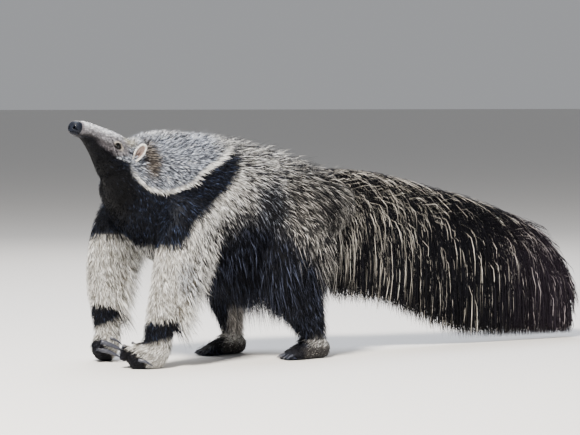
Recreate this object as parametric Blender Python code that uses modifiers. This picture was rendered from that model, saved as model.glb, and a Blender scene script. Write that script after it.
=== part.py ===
# Giant anteater, life size, walking with its head raised and turned to its left.
# The head points to -X, the tail to +X and the left side is -Y; +Z is up; metres.
import math
import random

import bmesh
import bpy
import numpy as np
from mathutils import Matrix, Vector
from mathutils.bvhtree import BVHTree

# Driving dimensions.
GAP = 0.0003
MODEL = "giant_anteater"
BODY_VOXEL, HEAD_VOXEL, FOOT_VOXEL = 0.009, 0.004, 0.005
BODY_TRIANGLES, HEAD_TRIANGLES, FOOT_TRIANGLES = 2340, 2250, 260

NOSE_TIP = Vector((-0.898, -0.163, 0.685))
HEAD_TURN = math.radians(30)
HEAD_RAISE = math.radians(20)
NOSE_LENGTH = 0.020
HEAD_LENGTH = 0.292
MOUTH_DEPTH, MOUTH_LENGTH, MOUTH_OPEN = 0.0065, 0.046, 0.0014

EYE_RADIUS = 0.0095
EYE_PLACE = Vector((0.178, 0.0345, 0.006))
LID_THICKNESS = 0.0042
EAR_PLACE = Vector((0.250, 0.0550, 0.013))
EAR_RADII = Vector((0.021, 0.011, 0.029))

SIDES = {"left": -1, "right": 1}

# The middle of the whole animal's box, which becomes the origin.
MIDDLE = Vector((0.0116, -0.0074, 0.0))

# Rows of a loft: centre x, y, z, then half width to the side and half height.
TORSO = [
    (-0.695, 0.0, 0.430, 0.060, 0.080),
    (-0.640, 0.0, 0.462, 0.110, 0.150),
    (-0.560, 0.0, 0.474, 0.142, 0.184),
    (-0.460, 0.0, 0.464, 0.168, 0.204),
    (-0.340, 0.0, 0.446, 0.178, 0.200),
    (-0.220, 0.0, 0.432, 0.178, 0.184),
    (-0.100, 0.0, 0.430, 0.162, 0.156),
    (0.000, 0.0, 0.446, 0.118, 0.114),
    (0.080, 0.0, 0.463, 0.078, 0.080),
]
NECK = [
    (-0.770, -0.092, 0.592, 0.024, 0.032),
    (-0.738, -0.077, 0.571, 0.043, 0.055),
    (-0.705, -0.060, 0.552, 0.060, 0.075),
    (-0.672, -0.038, 0.538, 0.084, 0.106),
    (-0.610, -0.014, 0.530, 0.108, 0.138),
    (-0.530, 0.000, 0.514, 0.134, 0.160),
    (-0.450, 0.000, 0.488, 0.150, 0.172),
]
# The head is lofted in its own frame: back from the nose tip, to its right, up.
HEAD = [
    (0.000, 0.0, 0.001, 0.014, 0.014),
    (0.005, 0.0, 0.002, 0.0195, 0.0200),
    (0.016, 0.0, 0.004, 0.0225, 0.0235),
    (0.040, 0.0, 0.009, 0.0235, 0.0245),
    (0.080, 0.0, 0.0130, 0.0275, 0.0280),
    (0.120, 0.0, 0.0100, 0.0325, 0.0360),
    (0.160, 0.0, 0.0078, 0.0395, 0.0432),
    (0.200, 0.0, 0.0058, 0.0460, 0.0482),
    (0.240, 0.0, 0.0015, 0.0515, 0.0500),
    (0.280, 0.0, 0.0000, 0.0565, 0.0545),
    (0.330, 0.0, 0.0000, 0.0650, 0.0640),
    (0.400, 0.0, -0.0080, 0.0850, 0.0830),
]
THROAT = [
    (0.090, 0.0, 0.000, 0.019, 0.019),
    (0.140, 0.0, -0.016, 0.028, 0.031),
    (0.190, 0.0, -0.034, 0.037, 0.042),
    (0.250, 0.0, -0.047, 0.051, 0.053),
    (0.330, 0.0, -0.060, 0.070, 0.072),
    (0.400, 0.0, -0.070, 0.095, 0.105),
]
# The tail's flesh with the inner half of its coat: centre x, upper and lower edge, half thickness.
TAIL_CORE = [
    (-0.060, 0.540, 0.400, 0.078),
    (0.040, 0.543, 0.335, 0.056),
    (0.130, 0.543, 0.315, 0.046),
    (0.240, 0.520, 0.290, 0.041),
    (0.337, 0.495, 0.265, 0.038),
    (0.505, 0.462, 0.225, 0.035),
    (0.657, 0.400, 0.190, 0.031),
    (0.742, 0.350, 0.170, 0.027),
    (0.806, 0.300, 0.160, 0.023),
    (0.845, 0.255, 0.165, 0.016),
]
# The outline of the tail's coat: x, height of its upper edge and of the lowest hair tips.
TAIL_OUTLINE = [
    (0.000, 0.572, 0.240),
    (0.040, 0.572, 0.205),
    (0.130, 0.576, 0.185),
    (0.240, 0.551, 0.158),
    (0.337, 0.524, 0.108),
    (0.505, 0.496, 0.050),
    (0.657, 0.439, 0.026),
    (0.742, 0.395, 0.022),
    (0.806, 0.348, 0.022),
    (0.855, 0.296, 0.024),
    (0.890, 0.226, 0.028),
    (0.920, 0.150, 0.032),
]

# Legs from the shoulder or hip down: half width is to the side, half height fore and aft.
FORELEG = {
    "left": [
        (-0.472, -0.040, 0.528, 0.020, 0.030),
        (-0.480, -0.070, 0.500, 0.044, 0.072),
        (-0.505, -0.124, 0.425, 0.068, 0.098),
        (-0.542, -0.138, 0.320, 0.062, 0.086),
        (-0.575, -0.137, 0.225, 0.054, 0.070),
        (-0.600, -0.132, 0.150, 0.047, 0.056),
        (-0.614, -0.128, 0.100, 0.042, 0.047),
        (-0.620, -0.126, 0.050, 0.040, 0.046),
    ],
    "right": [
        (-0.505, 0.040, 0.520, 0.020, 0.030),
        (-0.530, 0.070, 0.490, 0.044, 0.072),
        (-0.592, 0.118, 0.415, 0.066, 0.092),
        (-0.636, 0.124, 0.310, 0.058, 0.080),
        (-0.656, 0.122, 0.220, 0.050, 0.066),
        (-0.661, 0.118, 0.150, 0.043, 0.050),
        (-0.661, 0.115, 0.100, 0.040, 0.043),
        (-0.661, 0.113, 0.050, 0.038, 0.042),
    ],
}
HINDLEG = {
    "left": [
        (-0.100, -0.032, 0.495, 0.020, 0.034),
        (-0.110, -0.062, 0.458, 0.044, 0.080),
        (-0.150, -0.118, 0.380, 0.069, 0.110),
        (-0.182, -0.132, 0.295, 0.062, 0.096),
        (-0.162, -0.133, 0.205, 0.050, 0.078),
        (-0.130, -0.129, 0.130, 0.042, 0.058),
        (-0.108, -0.124, 0.080, 0.037, 0.046),
        (-0.100, -0.122, 0.040, 0.034, 0.042),
    ],
    "right": [
        (-0.120, 0.032, 0.488, 0.020, 0.034),
        (-0.132, 0.062, 0.450, 0.044, 0.080),
        (-0.200, 0.112, 0.370, 0.066, 0.104),
        (-0.262, 0.118, 0.285, 0.056, 0.084),
        (-0.268, 0.114, 0.200, 0.045, 0.062),
        (-0.256, 0.110, 0.120, 0.035, 0.044),
        (-0.250, 0.106, 0.080, 0.033, 0.038),
        (-0.248, 0.104, 0.040, 0.032, 0.036),
    ],
}
# Feet from heel to toes: half width is to the side, half height up.
FOREFOOT = {
    "left": [
        (-0.590, -0.127, 0.030, 0.024, 0.028),
        (-0.605, -0.127, 0.036, 0.036, 0.042),
        (-0.640, -0.123, 0.036, 0.042, 0.046),
        (-0.675, -0.116, 0.028, 0.038, 0.038),
        (-0.702, -0.108, 0.020, 0.024, 0.024),
    ],
    "right": [
        (-0.632, 0.116, 0.030, 0.024, 0.028),
        (-0.645, 0.115, 0.036, 0.034, 0.042),
        (-0.668, 0.112, 0.036, 0.040, 0.046),
        (-0.686, 0.106, 0.028, 0.036, 0.036),
        (-0.700, 0.102, 0.020, 0.024, 0.024),
    ],
}
HINDFOOT = {
    "left": [
        (-0.050, -0.122, 0.020, 0.020, 0.022),
        (-0.072, -0.122, 0.026, 0.030, 0.034),
        (-0.115, -0.123, 0.026, 0.036, 0.036),
        (-0.160, -0.125, 0.016, 0.042, 0.024),
        (-0.192, -0.126, 0.010, 0.036, 0.016),
    ],
    "right": [
        (-0.208, 0.104, 0.020, 0.020, 0.022),
        (-0.230, 0.104, 0.026, 0.028, 0.032),
        (-0.270, 0.103, 0.026, 0.034, 0.034),
        (-0.315, 0.101, 0.016, 0.040, 0.023),
        (-0.348, 0.100, 0.010, 0.034, 0.015),
    ],
}
# Fore claws fold back under the fist, from the toe knuckles: back, inwards, up, then the tip's.
FORE_CLAWS = [
    (0.034, 0.032, 0.066, 0.064, 0.044, 0.046, 0.0042),
    (0.006, 0.030, 0.056, 0.068, 0.052, 0.026, 0.0085),
    (-0.004, 0.024, 0.036, 0.056, 0.054, 0.012, 0.0080),
    (0.020, -0.040, 0.024, 0.052, -0.058, 0.0080, 0.0052),
]
HIND_CLAW_SPREAD = [-0.026, -0.014, 0.0, 0.014, 0.026]
HIND_CLAW_LENGTH, HIND_CLAW_RADIUS = 0.024, 0.0042
TOE_RADIUS = 0.0105

# Locks of the coat.
LOCK_SPACING = 0.046
BRUSH_LOCKS = 7
FRINGE_SPACING = 0.050
CREST_SPACING, CREST_LENGTH, CREST_HEIGHT = 0.050, 0.105, 0.018
CLEARANCE = 0.0012
# A leg's fringe: height, the way it faces in degrees from straight back, how far its tip reaches
# out and down from its root, and half its width.
FORELEG_FRINGE = [
    (0.300, 0, 0.040, 0.085, 0.026),
    (0.262, 40, 0.032, 0.078, 0.024),
    (0.245, -28, 0.034, 0.078, 0.024),
    (0.205, 8, 0.036, 0.072, 0.024),
    (0.170, 35, 0.026, 0.056, 0.020),
    (0.158, -18, 0.026, 0.050, 0.020),
]
HINDLEG_FRINGE = [
    (0.250, 18, 0.026, 0.085, 0.025),
    (0.225, -20, 0.024, 0.080, 0.024),
    (0.180, 8, 0.022, 0.070, 0.022),
    (0.140, -8, 0.016, 0.052, 0.018),
    (0.250, 165, 0.024, 0.090, 0.024),
    (0.205, 190, 0.018, 0.075, 0.022),
    (0.165, 172, 0.014, 0.060, 0.018),
]

# Where the body is parted: a flat cut is a centre, the way it faces and its two sides.
WRIST_HEIGHT, ANKLE_HEIGHT = 0.092, 0.064
NECK_CUT = (Vector((-0.585, 0.0, 0.540)), Vector((-0.90, 0.0, 0.43)), 0.56, 0.44)
TRUNK_CUTS = [-0.255, 0.035, 0.310, 0.590]
TRUNK_LEAN = math.radians(12)
LIMB_MARGIN = 0.008

COLOURS = {
    "coat_grey": ((0.25, 0.25, 0.27), 0.85),
    "coat_black": ((0.035, 0.035, 0.045), 0.85),
    "coat_white": ((0.72, 0.70, 0.64), 0.85),
    "coat_brown": ((0.13, 0.11, 0.10), 0.85),
    "skin": ((0.22, 0.19, 0.18), 0.7),
    "nose": ((0.02, 0.02, 0.025), 0.35),
    "eye": ((0.015, 0.01, 0.01), 0.1),
    "horn": ((0.16, 0.15, 0.16), 0.45),
}
NODE_COLOURS = {
    "chest": "coat_grey",
    "rump": "coat_grey",
    "neck": "coat_grey",
    "head": "coat_grey",
    "nose": "nose",
    "ear": "skin",
    "eye": "eye",
    "claw": "horn",
    "foreleg": "coat_white",
    "forefoot": "coat_white",
    "tail": "coat_brown",
}


def home():
    """The collection that holds the model's parts."""
    if MODEL not in bpy.data.collections:
        bpy.context.scene.collection.children.link(bpy.data.collections.new(MODEL))
    return bpy.data.collections[MODEL]


def clear_scene():
    for thing in list(bpy.data.objects):
        bpy.data.objects.remove(thing)


def smooth_rows(rows, spacing):
    """Rows of numbers read along a Catmull-Rom curve, about `spacing` apart."""
    table = np.array(rows, float)
    padded = np.vstack([2 * table[0] - table[1], table, 2 * table[-1] - table[-2]])
    found = []
    for i in range(len(table) - 1):
        p0, p1, p2, p3 = padded[i : i + 4]
        length = np.linalg.norm((p2 - p1)[:3])
        steps = max(1, round(length / spacing))
        for k in range(steps):
            t = k / steps
            found.append(
                0.5
                * (
                    2 * p1
                    + (p2 - p0) * t
                    + (2 * p0 - 5 * p1 + 4 * p2 - p3) * t**2
                    + (3 * p1 - p0 - 3 * p2 + p3) * t**3
                )
            )
    return np.array(found + [table[-1]])


def mesh_object(name, points, faces):
    """An object of these faces, turned so that they all point outwards."""
    mesh = bpy.data.meshes.new(name)
    mesh.from_pydata([tuple(p) for p in points], [], faces)
    shape = bmesh.new()
    shape.from_mesh(mesh)
    bmesh.ops.recalc_face_normals(shape, faces=shape.faces)
    shape.to_mesh(mesh)
    shape.free()
    made = bpy.data.objects.new(name, mesh)
    home().objects.link(made)
    return made


def loft(name, rows, side=(0, 1, 0), frame=None, around=20, spacing=0.015, grow=0.0):
    """A closed skin over elliptical sections that stand square to the line of their centres."""
    table = smooth_rows(rows, spacing)
    centres = table[:, :3]
    along = np.gradient(centres, axis=0)
    along /= np.linalg.norm(along, axis=1)[:, None]
    across = np.array(side, float) - along * (along @ np.array(side, float))[:, None]
    across /= np.linalg.norm(across, axis=1)[:, None]
    upward = np.cross(along, across)
    centres[0] -= along[0] * grow
    centres[-1] += along[-1] * grow
    turn = np.linspace(0, 2 * math.pi, around, endpoint=False)
    wide = (table[:, 3] + grow)[:, None, None] * np.cos(turn)[None, :, None]
    tall = (table[:, 4] + grow)[:, None, None] * np.sin(turn)[None, :, None]
    rings = centres[:, None] + across[:, None] * wide + upward[:, None] * tall
    points = np.vstack([rings.reshape(-1, 3), centres[:1], centres[-1:]])
    if frame is not None:
        points = [frame @ Vector(p) for p in points]
    last = (len(table) - 1) * around
    first_hub, last_hub = len(points) - 2, len(points) - 1
    faces = []
    for k in range(around):
        n = (k + 1) % around
        for ring in range(0, last, around):
            faces.append((ring + k, ring + n, ring + around + n))
            faces.append((ring + k, ring + around + n, ring + around + k))
        faces.append((first_hub, n, k))
        faces.append((last_hub, last + k, last + n))
    return mesh_object(name, points, faces)


def head_frame():
    """The head's own frame: +X back from the nose tip, +Y to the animal's right, +Z up."""
    back = Vector(
        (
            math.cos(HEAD_TURN) * math.cos(HEAD_RAISE),
            math.sin(HEAD_TURN) * math.cos(HEAD_RAISE),
            -math.sin(HEAD_RAISE),
        )
    )
    right = Vector((-math.sin(HEAD_TURN), math.cos(HEAD_TURN), 0))
    up = back.cross(right)
    turned = Matrix((back, right, up)).transposed().to_4x4()
    return Matrix.Translation(NOSE_TIP) @ turned


def bake(thing):
    """Gives the object the mesh that its modifiers make, and drops them."""
    graph = bpy.context.evaluated_depsgraph_get()
    mesh = bpy.data.meshes.new_from_object(thing.evaluated_get(graph))
    thing.modifiers.clear()
    thing.data = mesh
    return thing


def join(name, things):
    """One object holding all these closed skins, which may still overlap."""
    whole = bmesh.new()
    for thing in things:
        thing.data.transform(thing.matrix_basis)
        whole.from_mesh(thing.data)
        bpy.data.objects.remove(thing)
    mesh = bpy.data.meshes.new(name)
    whole.to_mesh(mesh)
    whole.free()
    made = bpy.data.objects.new(name, mesh)
    home().objects.link(made)
    return made


def melt(thing, voxel, rounds):
    """Blends overlapping skins into one smooth closed body."""
    remesh = thing.modifiers.new("remesh", "REMESH")
    remesh.mode = "VOXEL"
    remesh.voxel_size = voxel
    smooth = thing.modifiers.new("smooth", "SMOOTH")
    smooth.iterations = rounds
    return bake(thing)


def thin(thing, triangles):
    """Brings the mesh down to about that many triangles."""
    now = sum(len(face.vertices) - 2 for face in thing.data.polygons)
    thinner = thing.modifiers.new("thinner", "DECIMATE")
    thinner.ratio = triangles / now
    return bake(thing)


def boolean(target, tools, operation, solver="EXACT"):
    """Joins these closed objects to the target, or cuts them from it, and removes them."""
    held = bpy.data.collections.new("tools")
    bpy.context.scene.collection.children.link(held)
    for tool in tools:
        for home in list(tool.users_collection):
            home.objects.unlink(tool)
        held.objects.link(tool)
    modifier = target.modifiers.new("boolean", "BOOLEAN")
    modifier.operation = operation
    modifier.operand_type = "COLLECTION"
    modifier.collection = held
    modifier.solver = solver
    target.modifiers.new("triangles", "TRIANGULATE")
    bake(target)
    for tool in list(held.objects):
        bpy.data.objects.remove(tool)
    bpy.data.collections.remove(held)
    return target


def slab(centre, facing, tall, wide, thick=GAP):
    """A thin flat cut, square to `facing`."""
    bpy.ops.mesh.primitive_cube_add(size=1)
    made = bpy.context.object
    turned = Vector(facing).to_track_quat("X", "Z").to_matrix().to_4x4()
    size = Matrix.Diagonal((thick, wide, tall, 1))
    made.matrix_basis = Matrix.Translation(centre) @ turned @ size
    made.data.transform(made.matrix_basis)
    made.matrix_basis = Matrix.Identity(4)
    return made


def ellipsoid(name, frame, centre, radii, around=16):
    """A closed ball stretched along the axes of its frame."""
    bpy.ops.mesh.primitive_uv_sphere_add(segments=around, ring_count=around // 2, radius=1)
    made = bpy.context.object
    made.name = name
    place = frame @ Matrix.Translation(centre) @ Matrix.Diagonal((*radii, 1))
    made.data.transform(place)
    return made


def tail_rows():
    return [
        (x, 0.0, (top + low) / 2, thick, (top - low) / 2)
        for x, top, low, thick in TAIL_CORE
    ]


def side_of_head(place, sign):
    """A point of the head on the given side of it, in its own frame."""
    return Vector((place.x, place.y * sign, place.z))


def body():
    """The trunk, neck, legs and tail in one closed skin, with a rough head and feet."""
    pieces = [
        loft("torso", TORSO),
        loft("neck", NECK),
        loft("tail", tail_rows()),
        loft("head", HEAD, frame=head_frame(), spacing=0.008),
        loft("throat", THROAT, frame=head_frame(), spacing=0.008),
    ]
    for side in SIDES:
        pieces.append(loft("foreleg", FORELEG[side]))
        pieces.append(loft("hindleg", HINDLEG[side]))
        pieces.append(loft("forefoot", FOREFOOT[side]))
        pieces.append(loft("hindfoot", HINDFOOT[side]))
    return thin(melt(join("body", pieces), BODY_VOXEL, 6), BODY_TRIANGLES)


def head():
    """The head in finer detail, with brows, cheeks and the start of the neck behind it."""
    frame = head_frame()
    pieces = [
        loft("head", HEAD, frame=frame, spacing=0.006),
        loft("throat", THROAT, frame=frame, spacing=0.008),
        loft("neck", NECK),
        loft("chest", TORSO[:4]),
    ]
    for sign in SIDES.values():
        brow = side_of_head(EYE_PLACE + Vector((0.004, -0.006, 0.012)), sign)
        pieces.append(ellipsoid("brow", frame, brow, (0.024, 0.009, 0.008)))
        cheek = side_of_head(EYE_PLACE + Vector((0.030, -0.008, -0.020)), sign)
        pieces.append(ellipsoid("cheek", frame, cheek, (0.036, 0.017, 0.020)))
        nostril = side_of_head(Vector((0.009, 0.0125, 0.006)), sign)
        pieces.append(ellipsoid("wing", frame, nostril, (0.009, 0.0095, 0.0105)))
    whole = thin(melt(join("head", pieces), HEAD_VOXEL, 4), HEAD_TRIANGLES)
    lids = []
    for sign in SIDES.values():
        radius = EYE_RADIUS + LID_THICKNESS
        place = side_of_head(EYE_PLACE, sign)
        lids.append(ellipsoid("lids", frame, place, (radius * 1.15, radius, radius), 14))
    boolean(whole, lids, "UNION", "MANIFOLD")
    cuts = []
    for sign in SIDES.values():
        place = side_of_head(EYE_PLACE, sign)
        grown = EYE_RADIUS + GAP
        cuts.append(ellipsoid("socket", frame, place, (grown, grown, grown), 12))
        opening = place + Vector((0, sign * 0.011, 0))
        cuts.append(ellipsoid("opening", frame, opening, (0.0095, 0.012, 0.0062)))
        nostril = side_of_head(Vector((0.004, 0.0125, 0.006)), sign)
        cuts.append(ellipsoid("nostril", frame, nostril, (0.0075, 0.0042, 0.0050), 12))
        cuts.append(ear(sign, grow=GAP, hollow=False))
    boolean(whole, cuts, "DIFFERENCE", "MANIFOLD")
    mouth = slab(
        frame @ Vector((MOUTH_LENGTH / 2 - 0.01, 0, -MOUTH_DEPTH)),
        frame.col[2].xyz,
        MOUTH_LENGTH + 0.02,
        0.08,
        thick=MOUTH_OPEN,
    )
    top = 0.05
    nose = slab(
        frame @ Vector((NOSE_LENGTH, 0, top / 2 - MOUTH_DEPTH)),
        frame.col[0].xyz,
        top,
        0.08,
    )
    back = slab(frame @ Vector((HEAD_LENGTH, 0, -0.02)), frame.col[0].xyz, 0.30, 0.30)
    return boolean(whole, [mouth, nose, back], "DIFFERENCE", "MANIFOLD")


def ear(sign, grow=0.0, hollow=True):
    """A round cupped ear that stands up and out and faces forwards."""
    turn = Matrix.Rotation(sign * math.radians(24), 4, "Z")
    lean = Matrix.Rotation(math.radians(14), 4, "Y")
    frame = head_frame() @ Matrix.Translation(side_of_head(EAR_PLACE, sign)) @ turn @ lean
    radii = EAR_RADII + Vector((grow, grow, grow))
    cup = ellipsoid("ear", frame, (0, 0, 0), radii, 12)
    if hollow:
        deep = Vector((-0.001, sign * 0.0085, 0.001))
        inside = (EAR_RADII.x - 0.0045, EAR_RADII.y, EAR_RADII.z - 0.0055)
        boolean(cup, [ellipsoid("hollow", frame, deep, inside, 12)], "DIFFERENCE")
    return cup


def claw(name, root, tip, radius, bulge, grow=0.0):
    """A tapering claw that bends from its root to its tip."""
    start, end = Vector(root), Vector(tip)
    middle = (start + end) / 2 + Vector(bulge)
    rows = []
    for step in range(5):
        t = step / 4
        centre = start * (1 - t) ** 2 + middle * 2 * t * (1 - t) + end * t**2
        size = radius * (1 - 0.82 * t**1.5)
        rows.append((*centre, size * 0.8, size))
    return loft(name, rows, around=6, spacing=0.03, grow=grow)


def fore_claw(side, number, grow=0.0):
    sign = SIDES[side]
    toe = FOREFOOT[side][-1]
    back, inward, up, tip_back, tip_inward, tip_up, radius = FORE_CLAWS[number]
    root = (toe[0] + back, toe[1] - sign * inward, up)
    tip = (toe[0] + tip_back, toe[1] - sign * tip_inward, tip_up)
    bulge = (0, -sign * 0.010 * math.copysign(1, inward), 0.008)
    return claw(f"claw_fore_{side}_{number + 1}", root, tip, radius, bulge, grow)


def hind_claw(side, number, grow=0.0):
    toe = HINDFOOT[side][-1]
    aside = HIND_CLAW_SPREAD[number]
    start = toe[0] - 0.004 + 0.35 * abs(aside)
    root = (start, toe[1] + aside, 0.0125)
    tip = (start - HIND_CLAW_LENGTH, toe[1] + aside * 1.15, 0.0045)
    name = f"claw_hind_{side}_{number + 1}"
    return claw(name, root, tip, HIND_CLAW_RADIUS, (0, 0, 0.006), grow)


def foot(kind, side):
    """A foot in finer detail: its pad, its toes and the end of the leg."""
    sign = SIDES[side]
    fore = kind == "forefoot"
    rows = FOREFOOT[side] if fore else HINDFOOT[side]
    leg = FORELEG[side] if fore else HINDLEG[side]
    pieces = [loft(kind, rows), loft("leg", leg[3:])]
    toe = rows[-1]
    place = Matrix.Identity(4)
    if fore:
        for back, inward, up, *_, radius in FORE_CLAWS:
            centre = (toe[0] + back - 0.006, toe[1] - sign * inward * 0.85, up)
            size = radius + 0.0045
            pieces.append(ellipsoid("knuckle", place, centre, (size * 1.5, size, size), 12))
    else:
        for aside in HIND_CLAW_SPREAD:
            centre = (toe[0] + 0.35 * abs(aside), toe[1] + aside, 0.0085)
            pieces.append(
                ellipsoid("toe", place, centre, (0.020, TOE_RADIUS * 0.75, TOE_RADIUS), 12)
            )
    whole = thin(melt(join(kind, pieces), FOOT_VOXEL, 2), FOOT_TRIANGLES)
    height = WRIST_HEIGHT if fore else ANKLE_HEIGHT
    cuts = [box((0, 0, height + 0.5 - GAP / 2), (3, 2, 1)), floor_cut()]
    make, count = (fore_claw, len(FORE_CLAWS)) if fore else (hind_claw, len(HIND_CLAW_SPREAD))
    for number in range(count):
        cuts.append(make(side, number, grow=GAP))
    whole.name = f"{kind}_{side}"
    return largest_part(boolean(whole, cuts, "DIFFERENCE", "MANIFOLD"))


def box(centre, size):
    bpy.ops.mesh.primitive_cube_add(size=1)
    made = bpy.context.object
    made.data.transform(Matrix.Translation(centre) @ Matrix.Diagonal((*size, 1)))
    return made


def floor_cut():
    return box((0, 0, -0.25), (3, 2, 0.5))


def loose_parts(mesh):
    """The mesh's separate closed skins, each as its own bmesh, the largest first."""
    whole = bmesh.new()
    whole.from_mesh(mesh)
    whole.faces.ensure_lookup_table()
    label = [-1] * len(whole.faces)
    groups = 0
    for start in whole.faces:
        if label[start.index] >= 0:
            continue
        stack = [start]
        label[start.index] = groups
        while stack:
            face = stack.pop()
            for edge in face.edges:
                for other in edge.link_faces:
                    if label[other.index] < 0:
                        label[other.index] = groups
                        stack.append(other)
        groups += 1
    found = []
    for group in range(groups):
        piece = whole.copy()
        piece.faces.ensure_lookup_table()
        others = [face for face, name in zip(piece.faces, label) if name != group]
        bmesh.ops.delete(piece, geom=others, context="FACES")
        found.append(piece)
    whole.free()
    return sorted(found, key=lambda piece: -piece.calc_volume())


def holds(piece, point):
    """Whether the point is inside the piece, by how often a ray to one side crosses it."""
    tree = BVHTree.FromBMesh(piece)
    ray = Vector((0.123, 0.957, 0.262)).normalized()
    origin = point.copy()
    crossings = 0
    while True:
        hit = tree.ray_cast(origin, ray)[0]
        if hit is None:
            return crossings % 2 == 1
        crossings += 1
        origin = hit + ray * 1e-5


def largest_part(thing):
    """Drops every loose scrap but the largest closed skin."""
    pieces = loose_parts(thing.data)
    pieces[0].to_mesh(thing.data)
    for piece in pieces:
        piece.free()
    return thing


def part_head(whole):
    """Keeps the head and the nose pad of the finer head as two nodes."""
    frame = head_frame()
    seeds = {"nose": Vector((0.012, 0, -0.001)), "head": Vector((0.12, 0, 0.012))}
    return take(whole, {name: frame @ seed for name, seed in seeds.items()})


def take(whole, seeds):
    """Makes a node of each closed skin that holds a named point, and drops the rest."""
    nodes = {}
    pieces = loose_parts(whole.data)
    bpy.data.objects.remove(whole)
    for name, seed in seeds.items():
        piece = next(p for p in pieces if holds(p, seed))
        mesh = bpy.data.meshes.new(name)
        piece.to_mesh(mesh)
        nodes[name] = bpy.data.objects.new(name, mesh)
        home().objects.link(nodes[name])
    for piece in pieces:
        piece.free()
    return nodes


def part_limbs(whole):
    """Cuts the feet, the head and then the four legs off the whole body."""
    frame = head_frame()
    cuts = [slab(frame @ Vector((HEAD_LENGTH, 0, -0.02)), frame.col[0].xyz, 0.30, 0.30)]
    for side in SIDES:
        wrist = Vector(FORELEG[side][-2][:3])
        wrist.z = WRIST_HEIGHT
        cuts.append(slab(wrist, Vector((0, 0, 1)), 0.18, 0.16))
        ankle = Vector(HINDLEG[side][-2][:3])
        ankle.z = ANKLE_HEIGHT
        cuts.append(slab(ankle, Vector((0, 0, 1)), 0.18, 0.14))
    trunk = largest_part(boolean(whole, cuts, "DIFFERENCE", "MANIFOLD"))
    nodes = {}
    for side in SIDES:
        for limb, rows in {"foreleg": FORELEG, "hindleg": HINDLEG}.items():
            name = f"{limb}_{side}"
            nodes[name] = trunk.copy()
            nodes[name].data = trunk.data.copy()
            home().objects.link(nodes[name])
            kept = room(rows[side], LIMB_MARGIN)
            boolean(nodes[name], [kept], "INTERSECT", "MANIFOLD")
            cut = room(rows[side], LIMB_MARGIN + GAP)
            boolean(trunk, [cut], "DIFFERENCE", "MANIFOLD")
            largest_part(nodes[name])
    return largest_part(trunk), nodes


def part_trunk(trunk):
    """Cuts the neck and the lengths of the tail off the trunk, along the lie of the hair."""
    lean = Vector((math.cos(TRUNK_LEAN), 0, math.sin(TRUNK_LEAN)))
    cuts = [slab(*NECK_CUT)]
    for x in TRUNK_CUTS:
        cuts.append(slab(Vector((x, 0, 0.36)), lean, 0.80, 0.50))
    boolean(trunk, cuts, "DIFFERENCE", "MANIFOLD")
    return take(
        trunk,
        {
            "neck": Vector((-0.625, -0.02, 0.54)),
            "chest": Vector((-0.400, 0, 0.42)),
            "rump": Vector((-0.100, 0, 0.45)),
            "tail_base": Vector((0.130, 0, 0.45)),
            "tail_middle": Vector((0.430, 0, 0.36)),
            "tail_tip": Vector((0.720, 0, 0.27)),
        },
    )


def room(rows, grow):
    """The room a leg takes up, from its root inside the body down to the ground."""
    return loft("cut", rows, grow=grow, around=12, spacing=0.05)


def lock(root, tip, outward, bulge, half_width, ridge, sweep=0.35, steps=3):
    """A flat tapering lock of hair: it leaves its root outwards and bends over to its tip.

    Its section is a low triangle, flat towards the body, so that locks lie like shingles.
    """
    start, end, out = Vector(root), Vector(tip), Vector(outward).normalized()
    first = start.lerp(end, sweep) + out * bulge
    second = start.lerp(end, 0.75) + out * bulge * 0.8
    rings = []
    for step in range(steps + 1):
        t = step / steps
        u = 1 - t
        centre = start * u**3 + first * 3 * u**2 * t + second * 3 * u * t**2 + end * t**3
        along = (
            (first - start) * 3 * u**2 + (second - first) * 6 * u * t + (end - second) * 3 * t**2
        ).normalized()
        side = along.cross(out).normalized()
        face = side.cross(along).normalized()
        size = (0.62 + 0.38 * math.sin(math.pi * min(1.0, t * 1.6))) * (1 - 0.93 * t**2.4)
        wide, tall = half_width * size, ridge * size
        rings.append([centre + side * wide, centre + face * tall, centre - side * wide])
    points = [point for ring in rings for point in ring]
    faces = [(0, 1, 2), (len(points) - 1, len(points) - 2, len(points) - 3)]
    for ring in range(0, len(points) - 3, 3):
        for k in range(3):
            n = (k + 1) % 3
            faces.append((ring + k, ring + n, ring + 3 + n))
            faces.append((ring + k, ring + 3 + n, ring + 3 + k))
    return mesh_object("lock", points, faces)


def read(rows, x, column):
    """A column of these rows at x, read between the rows on either side."""
    table = np.array(rows)
    return float(np.interp(x, table[:, 0], table[:, column]))


def vary(amount):
    return random.uniform(-amount, amount)


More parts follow.
